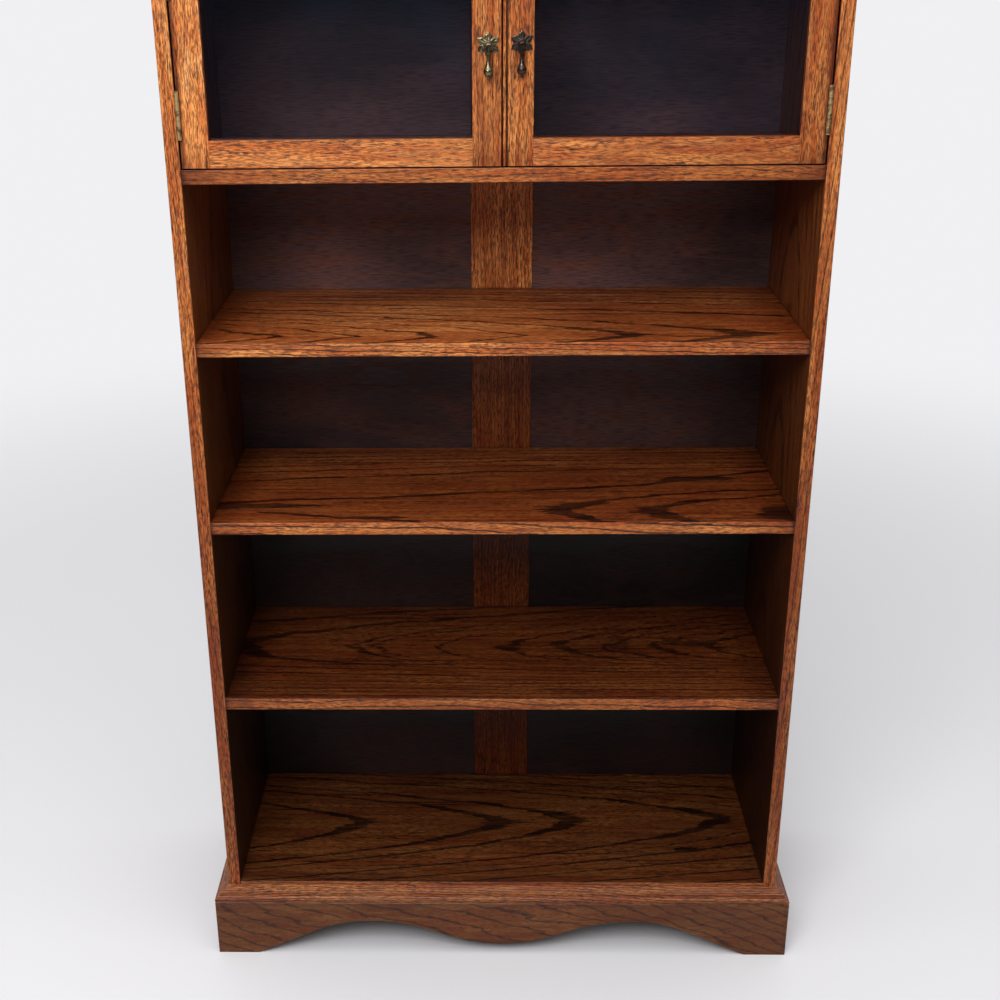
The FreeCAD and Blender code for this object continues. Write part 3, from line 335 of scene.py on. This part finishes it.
    colour = blend(g, strands, linear(AMBER), linear(GOLD))
    colour = blend(g, (patch.step(0.35, 0.7) * (red * 0.7)), colour, linear(RUSSET))
    colour = blend(g, bruise * marked * 0.38, colour, linear(MAUVE))
    rays = g.noise(stretched(10.0, 55.0, 131.0), detail=3.0, roughness=0.6).step(0.55, 0.70)
    colour = blend(g, rays * fleck, colour, linear(FLECK))
    colour = blend(g, dashes * (crowd * 0.45 + 0.5) * marked, colour, linear(STREAK))
    colour = blend(g, dark_lines * band, colour, linear(UMBER))
    colour = blend(g, specks, colour, linear(PORE))
    tone = cloud.step(0.3, 0.75) * 0.30 + 0.82
    for axis, clear, dark, share, where in shade:
        way = axes[axis].absolute() if axis == "X" else axes[axis]
        loss = way.step(clear, dark) * share
        if where == "faces":
            loss = loss * wide
        elif where == "inside":
            loss = loss * wide * deep.absolute().step(middle + 0.002, middle - 0.002)
        elif where == "edges":
            loss = loss * wide.inverse()
        tone = tone * loss.inverse()
    # Worn places brightened, with a painted sheen on them.
    for *spot, gain in rubs_and_sheen:
        away = oval(*spot) + (cloud - 0.5) * 1.2
        tone = tone * (away.step(1.3, 0.0) * wide * gain + 1.0)
    # Darker in crevices and joints, the more enclosed they are: partly dirt, partly painted shade.
    grime_and_shade = g.crevice(0.006).step(0.32, 0.70) * 0.88
    tone = tone * grime_and_shade.inverse() * (wide * ((face - 1.0) * light) + light)
    warmth = wide * ((warm if face_warm is None else face_warm) - warm) + warm
    tint = g.join(tone, tone * tone.do("POWER", warmth * 0.35),
                  tone * tone.do("POWER", warmth * 0.60))
    g.set(Base_Color=blend(g, 1.0, colour, tint, "MULTIPLY"))
    g.set(Roughness=specks * 0.22 + (patch * 0.16 + 0.30), Specular_IOR_Level=0.30)
    g.bump((specks + dark_lines * 0.5).inverse(), 0.0004, 0.55)
    return g.material


def dress(node, material):
    """Gives a CAD node its material."""
    for slot in NODES[node].material_slots:
        slot.material = material


# Fades over a board: axis, where it starts, where it is full, its share, where it shows.
ANYWHERE = ("Z", 2.0, 1.9)  # full at every height, as both lie above the case
# Painted shade: darker towards the bottom of the case.
LOW_DOWN = ("Z", 1.15, 0.45, 0.52, "all")
# Painted shade: the inside faces darker low in the bays.
IN_THE_BAYS = ("Z", 0.95, 0.15, 0.75, "inside")
# Painted shade: the inside faces darker than the outside ones.
WITHIN_THE_CASE = (*ANYWHERE, 0.42, "inside")
# Darker towards the sides: dirt on the ends of the front edges, and painted shade in the corners of
# the bays.
BESIDE_THE_CASE = ("X", 0.290, 0.346, 0.40, "all")
SHELF_END = ("X", 0.340, 0.3465, 0.75, "edges")
HINGE_EDGE = ("X", 0.3375, 0.3425, 0.72, "all")
STILE_FOOT = ("Z", 1.062, 1.040, 0.30, "all")
# Painted light: the wide faces brighter towards the back.
TO_THE_BACK = ("Y", -0.02, 0.13, -0.35, "faces")
# Painted shade: a door's faces behind its front, in the gaps between the doors and in the quirk,
# are darker.
INSIDE_A_DOOR = ("Y", -0.1250, -0.1236, 0.62, "all")

# Each board's cut and finish, as oak() takes them. Their light and face numbers also hold painted
# shade: the lower boards, and the wide faces beside the lit front edges, are darker.
BOARDS = {
    "side_left": dict(grain="ZYX", pith=(0.02, -0.60), spacing=0.0050, seed=1.0, band=0.5,
                      light=1.31, face=0.65, face_warm=0.1, face_dash=0.5, warm=1.3,
                      shade=(LOW_DOWN, IN_THE_BAYS, WITHIN_THE_CASE)),
    "side_right": dict(grain="ZYX", pith=(0.01, 0.52), slope=-0.06, spacing=0.0075, seed=2.0,
                       band=0.6, light=1.16, face=0.62, face_warm=0.3, face_dash=0.5,
                       shade=(LOW_DOWN, IN_THE_BAYS, WITHIN_THE_CASE)),
    "top_board": dict(grain="XYZ", pith=(0.0, 1.10), slope=0.05, spacing=0.008, seed=3.0,
                      light=0.85, band=0.7),
    "cupboard_floor": dict(grain="XYZ", pith=(0.06, 0.90), slope=0.02, seed=4.0, band=0.4,
                           light=0.74, face=0.5, face_dash=0.6,
                           shade=(BESIDE_THE_CASE, SHELF_END)),
    "shelf_upper": dict(
        grain="XYZ", seed=5.0, sway=0.3, face=0.64, face_warm=1.2, face_dash=0.8, band=1.0,
        rubs_and_sheen=((-0.09, -0.02, 0.19, 0.09, 0.55),), shade=(BESIDE_THE_CASE, SHELF_END, TO_THE_BACK),
        vees=Vees(
            heart=-0.096, high=(1.2, 0.189, 2.0), low=(2.2, 0.224, 2.0),
            tips=((-0.372, 0.016), (-0.272, 0.011), (-0.176, 0.010), (-0.085, 0.014),
                  (0.015, 0.010), (0.140, 0.024), (0.268, 0.029), (0.590, 0.036),
                  (0.930, 0.028)),
            rows=((0.174, 0.002), (0.190, 0.003), (0.203, 0.002), (0.219, 0.003),
                  (0.235, 0.003)))),
    "shelf_middle": dict(
        grain="XYZ", seed=6.0, sway=0.3, face=0.40, face_warm=0.9, face_dash=0.8, band=0.95,
        shade=(BESIDE_THE_CASE, SHELF_END, TO_THE_BACK),
        vees=Vees(
            heart=-0.085, tilt=-0.05, flow=-1, high=(0.7, 0.174, 2.0), low=(1.3, 0.3, 2.0),
            tips=((-0.335, 0.026), (-0.195, 0.028), (-0.083, 0.030)),
            rows=((0.120, 0.004), (0.143, 0.003), (0.160, 0.003), (0.174, 0.002), (0.187, 0.003),
                  (0.200, 0.002))),
        streaks=((-0.37, -0.066, 0.19, -0.008, 0.006), (0.17, -0.009, 0.37, 0.044, 0.007),
                 (-0.30, -0.092, -0.09, -0.123, 0.005)),
        blots=((0.250, 0.012, 0.050, 0.010, 0.8), (0.335, -0.105, 0.025, 0.016, 0.9),
               (-0.320, -0.074, 0.105, 0.010, 0.8), (-0.160, -0.110, 0.060, 0.004, 0.7))),
    "shelf_lower": dict(
        grain="XYZ", seed=7.0, sway=0.6, ripple=1.3, light=0.7, face=0.30, face_warm=0.55,
        face_dash=0.8, band=0.85,
        shade=(BESIDE_THE_CASE, SHELF_END, TO_THE_BACK), vees=Vees(
            heart=0.014, flow=-1, high=(0.9, 0.174, 2.0), low=(1.2, 0.0824, 4.0),
            tips=((-0.285, 0.014), (-0.218, 0.013), (-0.150, 0.012), (-0.088, 0.016),
                  (-0.012, 0.012), (0.085, 0.006), (0.165, 0.006)),
            rows=((-0.050, 0.0010), (-0.059, 0.0022), (-0.068, 0.0016), (-0.078, 0.0024),
                  (-0.086, 0.0018), (-0.096, 0.0026), (-0.104, 0.0016), (-0.113, 0.0024),
                  (-0.122, 0.0018), (-0.131, 0.0024))),
        blots=((0.160, 0.030, 0.016, 0.030, 0.45), (0.255, 0.020, 0.035, 0.010, 0.6))),
    "bottom_board": dict(
        grain="XYZ", seed=8.0, sway=0.3, light=0.7, face=0.28, face_warm=0.2, face_dash=0.8,
        band=0.95, shade=(TO_THE_BACK,), vees=Vees(
            heart=0.0134, tilt=0.02,
            tips=((-0.205, 0.024), (-0.012, 0.028), (0.090, 0.025), (0.296, 0.026), (0.390, 0.008),
                  (0.475, 0.024), (0.635, 0.022), (0.845, 0.026)),
            rows=((0.150, 0.002), (0.165, 0.002))),
        blots=((0.255, -0.054, 0.018, 0.007, 0.9),)),
    # Painted light and shade: the front face lighter than the back, darker low down, and darker
    # still behind the doors.
    "back_muntin": dict(grain="ZXY", pith=(0.16, 0.20), slope=0.01, spacing=0.0045, seed=9.0,
                        band=0.5, light=0.8,
                        shade=(("Z", 0.95, 0.55, 0.82, "inside"), (*ANYWHERE, -0.88, "inside"),
                               ("Z", 1.021, 1.037, 0.85, "inside"))),
    "plinth_front": dict(grain="XZY", pith=(-0.6, -0.02), slope=0.05, tilt=0.32, spacing=0.015,
                         seed=10.0, sway=3.0, ripple=4.5, light=0.28, warm=0.0, red=0.9,
                         face_dash=0.45, band=0.65),
    "plinth_left": dict(grain="YZX", pith=(0.05, -0.5), slope=0.05, spacing=0.0060, seed=11.0,
                        light=0.31, warm=0.0, red=0.9),
    "plinth_right": dict(grain="YZX", pith=(0.05, 0.5), slope=0.05, spacing=0.0060, seed=12.0,
                         light=0.31, warm=0.0, red=0.9),
    "plinth_moulding_front": dict(grain="XYZ", pith=(0.1, 0.3), slope=0.02, spacing=0.003,
                                  seed=13.0, light=0.56, warm=0.3, band=1.0),
    "plinth_moulding_left": dict(grain="YXZ", pith=(0.1, 0.3), slope=0.02, spacing=0.003,
                                 seed=14.0, light=0.5, warm=0.3),
    "plinth_moulding_right": dict(grain="YXZ", pith=(-0.1, 0.3), slope=0.02, spacing=0.003,
                                  seed=15.0, light=0.5, warm=0.3),
    "door_stop": dict(grain="XYZ", pith=(0.1, 1.5), slope=0.02, spacing=0.003, seed=16.0),
    "hinge_stile_left": dict(grain="ZXY", pith=(-0.36, -0.06), slope=0.05, spacing=0.009,
                             seed=17.0, sway=1.5, band=0.12, light=1.34, red=0.25, dash=0.68,
                             fleck=0.55,
                             shade=(HINGE_EDGE, STILE_FOOT, INSIDE_A_DOOR)),
    "hinge_stile_right": dict(grain="ZXY", pith=(0.30, 0.10), seed=18.0, band=0.15, light=0.95,
                              red=0.8, fleck=0.3, shade=(HINGE_EDGE, STILE_FOOT, INSIDE_A_DOOR)),
    "meeting_stile_left": dict(grain="ZXY", pith=(0.20, 0.05), slope=0.01, spacing=0.0045,
                               seed=19.0, sway=0.4, band=0.45, light=0.93,
                               blots=((1.128, -0.004, 0.014, 0.0035, 0.75),
                                      (1.172, -0.026, 0.012, 0.004, 0.6)),
                               shade=(STILE_FOOT, INSIDE_A_DOOR)),
    "meeting_stile_right": dict(grain="ZXY", pith=(0.02, 0.00), slope=0.12, spacing=0.0080,
                                seed=20.0, sway=1.5, band=0.4, light=0.95,
                                shade=(STILE_FOOT, INSIDE_A_DOOR)),
    "top_rail_left": dict(grain="XZY", pith=(1.20, 0.06), slope=0.02, spacing=0.004, seed=21.0,
                          band=0.2, shade=(INSIDE_A_DOOR,)),
    "top_rail_right": dict(grain="XZY", pith=(1.20, 0.06), slope=0.02, spacing=0.004, seed=22.0,
                           band=0.2, shade=(INSIDE_A_DOOR,)),
    "bottom_rail_left": dict(grain="XZY", pith=(1.12, 0.02), slope=0.04, spacing=0.005,
                             seed=23.0, band=0.15, ripple=1.5, light=1.08, red=0.4,
                             shade=(INSIDE_A_DOOR,)),
    "bottom_rail_right": dict(grain="XZY", pith=(1.00, 0.02), slope=0.04, spacing=0.005,
                              seed=24.0, band=0.15, ripple=1.5, light=0.93, red=0.6,
                              shade=(INSIDE_A_DOOR,)),
    "glazing_beads_left": dict(grain="XZY", pith=(1.2, 0.1), slope=0.02, spacing=0.004,
                               seed=25.0, light=0.4),
    "glazing_beads_right": dict(grain="XZY", pith=(1.2, 0.1), slope=0.02, spacing=0.004,
                                seed=26.0, light=0.4),
}
for board, cut_as in BOARDS.items():
    board_low, board_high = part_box(board)
    thick_way = "XYZ".index(cut_as["grain"][2])  # the axis through its thickness
    core = abs(board_low[thick_way] + board_high[thick_way]) / 2
    dress(board, oak("oak_" + board, core, **cut_as))


def plywood():
    """Thin stained plywood: wavy contour lines from the peeling knife, and a little dust."""
    g = Graph("plywood")
    swell = g.noise(g.join(g.x * 2.0, 0.0, g.z * 11.0), detail=2.0, roughness=0.4)
    shake = g.noise(g.join(g.x * 14.0, 0.0, g.z * 90.0), detail=3.0)
    contour = (swell * 11.0 + shake * 0.9).do("FRACT")
    fainter_above = g.z.step(1.01, 1.05) * -0.8 + 1.0  # behind the doors
    line = contour.step(0.55, 0.95) * contour.step(1.0, 0.97) * fainter_above
    cloud = g.noise(g.join(g.x * 3.0, 0.0, g.z * 6.0 + 5.0), detail=2.0).step(0.35, 0.65)
    fine = g.noise(g.join(g.x * 60.0, 0.0, g.z * 700.0), detail=2.0).step(0.4, 0.7)
    dust = g.noise(g.place, 260.0, 2.0).step(0.72, 0.80)
    colour = blend(g, cloud * 0.60 + shake * 0.4, linear(PLY_DARK), linear(PLY_PALE))
    colour = blend(g, line * (cloud * 0.35 + 0.25), colour, linear(PLY_CONTOUR))
    colour = blend(g, fine * 0.55, colour, linear(PLY_GROOVE))
    colour = blend(g, dust * 0.25, colour, linear(DUST))
    # Painted shade: darker low down, and in the bays towards the sides.
    depth = g.z.step(0.88, 0.50) * 0.80
    corner = g.x.absolute().step(0.20, 0.345) * g.z.step(1.04, 1.02) * 0.45
    tone = depth.inverse() * corner.inverse()
    grey = g.join(tone, tone, tone)
    g.set(Base_Color=blend(g, 1.0, colour, grey, "MULTIPLY"))
    g.set(Roughness=line * 0.1 + 0.42, Specular_IOR_Level=0.30)
    g.bump(fine, 0.0002, 0.4)
    return g.material


def brass(name, bright, dull, cover, roughness, seed, metal=0.75):
    """Brass under a brown skin that has rubbed off where hands reach."""
    g = Graph(name)
    spots = g.noise(g.join(g.x * 150.0 + seed, g.y * 150.0, g.z * 150.0), detail=3.0)
    fine = g.noise(g.join(g.x * 900.0, g.y * 900.0 + seed, g.z * 900.0), detail=2.0)
    skin = spots.step(0.66 - cover * 0.4, 0.80 - cover * 0.4).inverse()
    dirt = g.crevice(0.0050, 8).step(0.20, 0.52)
    colour = blend(g, skin.inverse(), linear(bright), linear(dull))
    colour = blend(g, dirt * 0.96, colour, linear((18, 14, 11)))
    g.set(Base_Color=colour)
    g.set(Metallic=dirt.inverse() * (metal * 0.5) + (metal * 0.5))
    g.set(Roughness=fine * 0.12 + (dirt * 0.25 + roughness))
    g.bump(spots * 0.7 + fine * 0.3, 0.00006, 0.4)
    return g.material


def plain_metal(name, colour, roughness, tint):
    """Clean metal, faintly mottled between its colour and its tint."""
    g = Graph(name)
    fine = g.noise(g.join(g.x * 900.0, g.y * 900.0, g.z * 900.0), detail=3.0)
    g.set(Base_Color=blend(g, fine.step(0.35, 0.75), linear(colour), linear(tint)))
    g.set(Metallic=0.9)
    g.set(Roughness=fine * 0.2 + roughness)
    g.bump(fine, 0.00006, 0.4)
    return g.material


def pine():
    """Bare softwood, for what is never seen from the front."""
    g = Graph("pine")
    line = g.noise(g.join(g.x * 8.0, g.y * 90.0, g.z * 90.0), detail=3.0).step(0.35, 0.68)
    g.set(Base_Color=blend(g, line, linear((196, 158, 108)), linear((150, 106, 62))))
    g.set(Roughness=line * 0.15 + 0.6)
    g.bump(line, 0.0003, 0.5)
    return g.material


def pane():
    """Old sheet glass: it mirrors a little, lets light straight through, and has dust on it, with a
    painted bluish reflection.
    """
    g = Graph("door_pane")
    dust = g.noise(g.join(g.x * 420.0, g.y, g.z * 420.0), detail=2.0).step(0.70, 0.78)
    film = g.noise(g.join(g.x * 9.0, g.y, g.z * 5.0), detail=3.0).step(0.4, 0.8)
    # Dust and haze, tinted blue as a painted reflection.
    g.set(Base_Color=linear((112, 134, 184)))
    g.set(Roughness=film * 0.2 + 0.6)
    clear = g.add("ShaderNodeBsdfTransparent")
    clear.inputs["Color"].default_value = linear((238, 240, 243))
    mirror = g.add("ShaderNodeBsdfGlossy")
    mirror.inputs["Roughness"].default_value = 0.03
    fresnel = g.add("ShaderNodeFresnel")
    fresnel.inputs["IOR"].default_value = 1.5
    clean = g.mix(fresnel.outputs[0], clear.outputs[0], mirror.outputs[0])
    dust_and_blue_reflection = g.mix(dust * 0.06 + (film * 0.016 + 0.006), clean, g.shader.outputs[0])
    g.feed(g.output.inputs["Surface"], dust_and_blue_reflection)
    return g.material


ply = plywood()
aged = {"left": brass("aged_brass_left", (122, 111, 84), (66, 55, 42), 0.46, 0.21, 3.0, 0.85),
        "right": brass("aged_brass_right", (112, 102, 82), (60, 50, 44), 0.85, 0.24, 4.0, 0.80)}
hinge = brass("hinge_brass", (192, 164, 114), (116, 92, 60), 0.5, 0.38, 9.0, 0.6)
catch = brass("catch_brass", (200, 168, 100), (140, 112, 64), 0.4, 0.34, 15.0)
steel = plain_metal("steel", (120, 118, 114), 0.35, (90, 84, 78))
screw_brass = plain_metal("screw_brass", (180, 146, 84), 0.35, (110, 84, 50))
for node in ("back_panel_left", "back_panel_right"):
    dress(node, ply)
glue_wood = pine()
dress("glue_blocks", glue_wood)
dress("top_dowels", glue_wood)
for side in SIDES:
    dress(f"glass_{side}", pane())
    for part in ("plate", "post", "pin", "nut", "drop"):
        dress(f"pull_{part}_{side}", aged[side])
    for part in ("leaves_fixed", "leaves_moving", "pins"):
        dress(f"hinge_{part}_{side}", hinge)
    dress(f"catch_barrel_{side}", catch)
    dress(f"catch_ball_{side}", steel)
    dress(f"hinge_screws_moving_{side}", screw_brass)
dress("catch_plate", catch)
dress("hinge_screws_fixed", screw_brass)
dress("back_panel_nails", steel)
dress("muntin_screws", steel)


PETALS = 6
PETAL_POINT = 2.6 * MM
PETAL_STEPS = 24  # round one petal
HUB_REACH = 2.0 * MM
BOSS_REACH = 4.4 * MM
BOSS_RINGS = 4
PLATE_RINGS = 18
RIM_HEIGHT = 0.25 * MM


def petal_edge(turn, reach):
    """How far the star goes at an angle from a petal's middle: a broad lobe with a short point."""
    share = abs(turn) / (math.pi / PETALS)
    shape = math.cos(share * 0.62) ** 0.5 * (1 - 0.30 * max(0.0, share - 0.55) ** 1.5 / 0.3)
    return (reach - PETAL_POINT) * shape + PETAL_POINT * math.exp(-((share / 0.16) ** 1.2))


def petal_height(reach, edge, turn):
    """How far a petal stands up: a hollowed dome, a vein along its middle, and its branches."""
    share = (reach - BOSS_REACH) / (edge - BOSS_REACH)
    vein = math.exp(-((reach * math.sin(turn) / (0.45 * MM)) ** 2))
    branch = 0.5 + 0.5 * math.cos(22 * share - 9 * abs(turn) / (math.pi / PETALS))
    dome = 1.9 - 0.5 * share - 0.55 * max(0.0, share - 0.8) / 0.2
    dish = 0.16 * (1 - (2 * share - 1) ** 2)
    return (dome - dish - vein * 0.24 * min(1.0, share * 4) + branch * 0.04) * MM


def star_plate(side):
    """A stamped star: six veined petals that are hollowed along their middles, and a raised hub."""
    old = f"pull_plate_{side}"
    low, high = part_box(old)
    middle = Vector(((low[0] + high[0]) / 2, high[1], (low[2] + high[2]) / 2))
    star_reach = (high[2] - low[2]) / 2
    pin_low, pin_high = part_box(f"pull_pin_{side}")
    fall = Vector((0.0, 0.0, (pin_low[2] + pin_high[2]) / 2 - middle.z))  # down to the post
    mesh = bmesh.new()
    around = PETALS * PETAL_STEPS
    half_petal = math.pi / PETALS
    rings = []
    for ring in range(PLATE_RINGS + 1):
        row = []
        for i in range(around):
            angle = math.tau * i / around + math.pi / 2
            turn = (math.tau * i / around + half_petal) % (math.tau / PETALS) - half_petal
            edge = petal_edge(turn, star_reach)
            centre = middle
            if ring <= BOSS_RINGS:
                share = ring / BOSS_RINGS
                reach = HUB_REACH + (BOSS_REACH - HUB_REACH) * share
                centre = middle + fall * (1 - share)
                up = (2.3 - 0.5 * share ** 3) * MM
            else:
                share = (ring - BOSS_RINGS) / (PLATE_RINGS - BOSS_RINGS)
                reach = BOSS_REACH + (edge - BOSS_REACH) * share
                up = petal_height(reach, edge, turn)
            row.append(mesh.verts.new(centre + Vector((reach * math.cos(angle), -up,
                                                       reach * math.sin(angle)))))
        rings.append(row)
    for level in (RIM_HEIGHT, 0.0):
        rings.append([mesh.verts.new((v.co.x, middle.y - level, v.co.z)) for v in rings[-1]])
    for inner, outer in zip(rings, rings[1:]):
        for i in range(around):
            j = (i + 1) % around
            mesh.faces.new((inner[i], outer[i], outer[j], inner[j]))
    rims = [[mesh.verts.new((v.co.x, middle.y, v.co.z)) for v in rings[0]]]
    for i in range(around):
        j = (i + 1) % around
        mesh.faces.new((rings[-1][i], rims[0][i], rims[0][j], rings[-1][j]))
        mesh.faces.new((rims[0][i], rings[0][i], rings[0][j], rims[0][j]))
    bmesh.ops.recalc_face_normals(mesh, faces=mesh.faces)
    data = bpy.data.meshes.new(f"star_plate_{side}")
    mesh.to_mesh(data)
    mesh.free()
    for face in data.polygons:
        face.use_smooth = True
    data.set_sharp_from_angle(angle=math.radians(50))
    data.materials.append(aged[side])
    piece = bpy.data.objects.new(f"star_plate_{side}", data)
    bpy.context.collection.objects.link(piece)
    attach(piece, f"door_{side}")
    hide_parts(old)


for side in SIDES:
    star_plate(side)


# The camera stands a little left of the middle, at the height of the doors, and looks down.
CAMERA_PLACE = (-0.01693, -1.64606, 1.27599)
CAMERA_PITCH = math.radians(22.369)
CAMERA_YAW = math.radians(-1.451)
CAMERA_ROLL = math.radians(-0.693)
lens = bpy.data.cameras.new("camera")
lens.sensor_width = 36.0
lens.lens = 50.28
lens.shift_x = 0.04575
lens.shift_y = 0.0010
camera = bpy.data.objects.new("camera", lens)
bpy.context.collection.objects.link(camera)
forward = Vector((math.sin(CAMERA_YAW) * math.cos(CAMERA_PITCH),
                  math.cos(CAMERA_YAW) * math.cos(CAMERA_PITCH), -math.sin(CAMERA_PITCH)))
level = Vector((math.cos(CAMERA_YAW), -math.sin(CAMERA_YAW), 0.0))
upright = level.cross(forward)
right = level * math.cos(CAMERA_ROLL) + upright * math.sin(CAMERA_ROLL)
up = upright * math.cos(CAMERA_ROLL) - level * math.sin(CAMERA_ROLL)
camera.matrix_world = Matrix((right, up, -forward)).transposed().to_4x4()
camera.location = CAMERA_PLACE
bpy.context.scene.camera = camera


def looked_at(tree):
    """1 for the rays of the eye, of reflections and through glass, and 0 for those that light."""
    path = tree.nodes.new("ShaderNodeLightPath")
    seen = path.outputs["Is Camera Ray"]
    for name in ("Is Glossy Ray", "Is Transmission Ray"):
        either = tree.nodes.new("ShaderNodeMath")
        either.operation = "MAXIMUM"
        tree.links.new(seen, either.inputs[0])
        tree.links.new(path.outputs[name], either.inputs[1])
        seen = either.outputs[0]
    return seen


# The world lights more from above, and shows the eye only the plain backdrop.
world = bpy.data.worlds.new("studio")
bpy.context.scene.world = world
world.use_nodes = True
tree = world.node_tree
ambient = tree.nodes["Background"]
ambient.inputs["Color"].default_value = (1.0, 1.0, 1.0, 1.0)
sky = tree.nodes.new("ShaderNodeTexCoord")
apart = tree.nodes.new("ShaderNodeSeparateXYZ")
rise = tree.nodes.new("ShaderNodeMapRange")
rise.interpolation_type = "SMOOTHSTEP"
tree.links.new(sky.outputs["Generated"], apart.inputs[0])
tree.links.new(apart.outputs["Z"], rise.inputs["Value"])
for socket, value in (("From Min", 0.1), ("From Max", 0.95), ("To Min", 0.09), ("To Max", 0.75)):
    rise.inputs[socket].default_value = value
tree.links.new(rise.outputs[0], ambient.inputs["Strength"])
backdrop = tree.nodes.new("ShaderNodeBackground")
backdrop.inputs["Color"].default_value = linear(BACKDROP)
choice = tree.nodes.new("ShaderNodeMixShader")
for socket, source in zip(choice.inputs, (looked_at(tree), ambient.outputs[0],
                                          backdrop.outputs[0])):
    tree.links.new(source, socket)
tree.links.new(choice.outputs[0], tree.nodes["World Output"].inputs["Surface"])


def staged(name, corners, faces, material):
    """A mesh of the studio, which isn't part of the bookcase."""
    mesh = bpy.data.meshes.new(name)
    mesh.from_pydata(corners, [], faces)
    mesh.materials.append(material)
    piece = bpy.data.objects.new(name, mesh)
    bpy.context.collection.objects.link(piece)
    return piece


def floor_material():
    """Pale paint near the bookcase, which fades into the backdrop's colour further off."""
    g = Graph("floor")
    reach = (g.x * g.x + g.y * g.y).do("SQRT")
    cloud = g.noise(g.place, 1.5, 2.0)
    seen = looked_at(g.tree)
    paint = blend(g, cloud, linear((236, 235, 238)), linear((231, 230, 233)))
    g.set(Base_Color=blend(g, seen, linear((120, 118, 116)), paint))
    g.set(Roughness=0.6)
    far = g.add("ShaderNodeEmission")
    far.inputs["Color"].default_value = linear(BACKDROP)
    fading = g.mix(reach.step(0.9, 3.0) * seen, g.shader.outputs[0], far.outputs[0])
    g.feed(g.output.inputs["Surface"], fading)
    return g.material


FLOOR_REACH = 40.0
CORNER_COUNT = 64
staged("floor", [(FLOOR_REACH * math.cos(math.tau * i / CORNER_COUNT),
                  FLOOR_REACH * math.sin(math.tau * i / CORNER_COUNT), 0.0)
                 for i in range(CORNER_COUNT)], [tuple(range(CORNER_COUNT))], floor_material())


def flag():
    """The dark end of the studio, which only the glass, the brass and the wax reflect."""
    g = Graph("flag")
    g.set(Base_Color=linear((22, 22, 26)))
    g.set(Roughness=0.9)
    radius, foot, head, half_turn, count = 5.0, 0.01, 4.5, math.radians(105), 24
    corners = []
    for i in range(count + 1):
        turn = half_turn * (2 * i / count - 1)
        for z in (foot, head):
            corners.append((radius * math.sin(turn), -radius * math.cos(turn), z))
    faces = [(2 * i, 2 * i + 2, 2 * i + 3, 2 * i + 1) for i in range(count)]
    piece = staged("flag", corners, faces, g.material)
    for ray in ("camera", "diffuse", "transmission", "volume_scatter", "shadow"):
        setattr(piece, "visible_" + ray, False)


flag()


def softbox(name, place, aim, size, power):
    """A white lamp of a given width and height in metres, and power in watts."""
    light = bpy.data.lights.new(name, "AREA")
    light.shape = "RECTANGLE"
    light.size, light.size_y = size
    light.energy = power
    lamp = bpy.data.objects.new(name, light)
    bpy.context.collection.objects.link(lamp)
    lamp.location = place
    lamp.rotation_mode = "QUATERNION"
    lamp.rotation_quaternion = (Vector(aim) - Vector(place)).to_track_quat("-Z", "Y")


softbox("key", place=(-0.5, -1.85, 2.15), aim=(0.0, 0.0, 0.9), size=(1.3, 1.0), power=34.0)
softbox("overhead", place=(0.0, -0.9, 3.2), aim=(0.0, -0.9, 0.0), size=(3.0, 3.0), power=42.0)
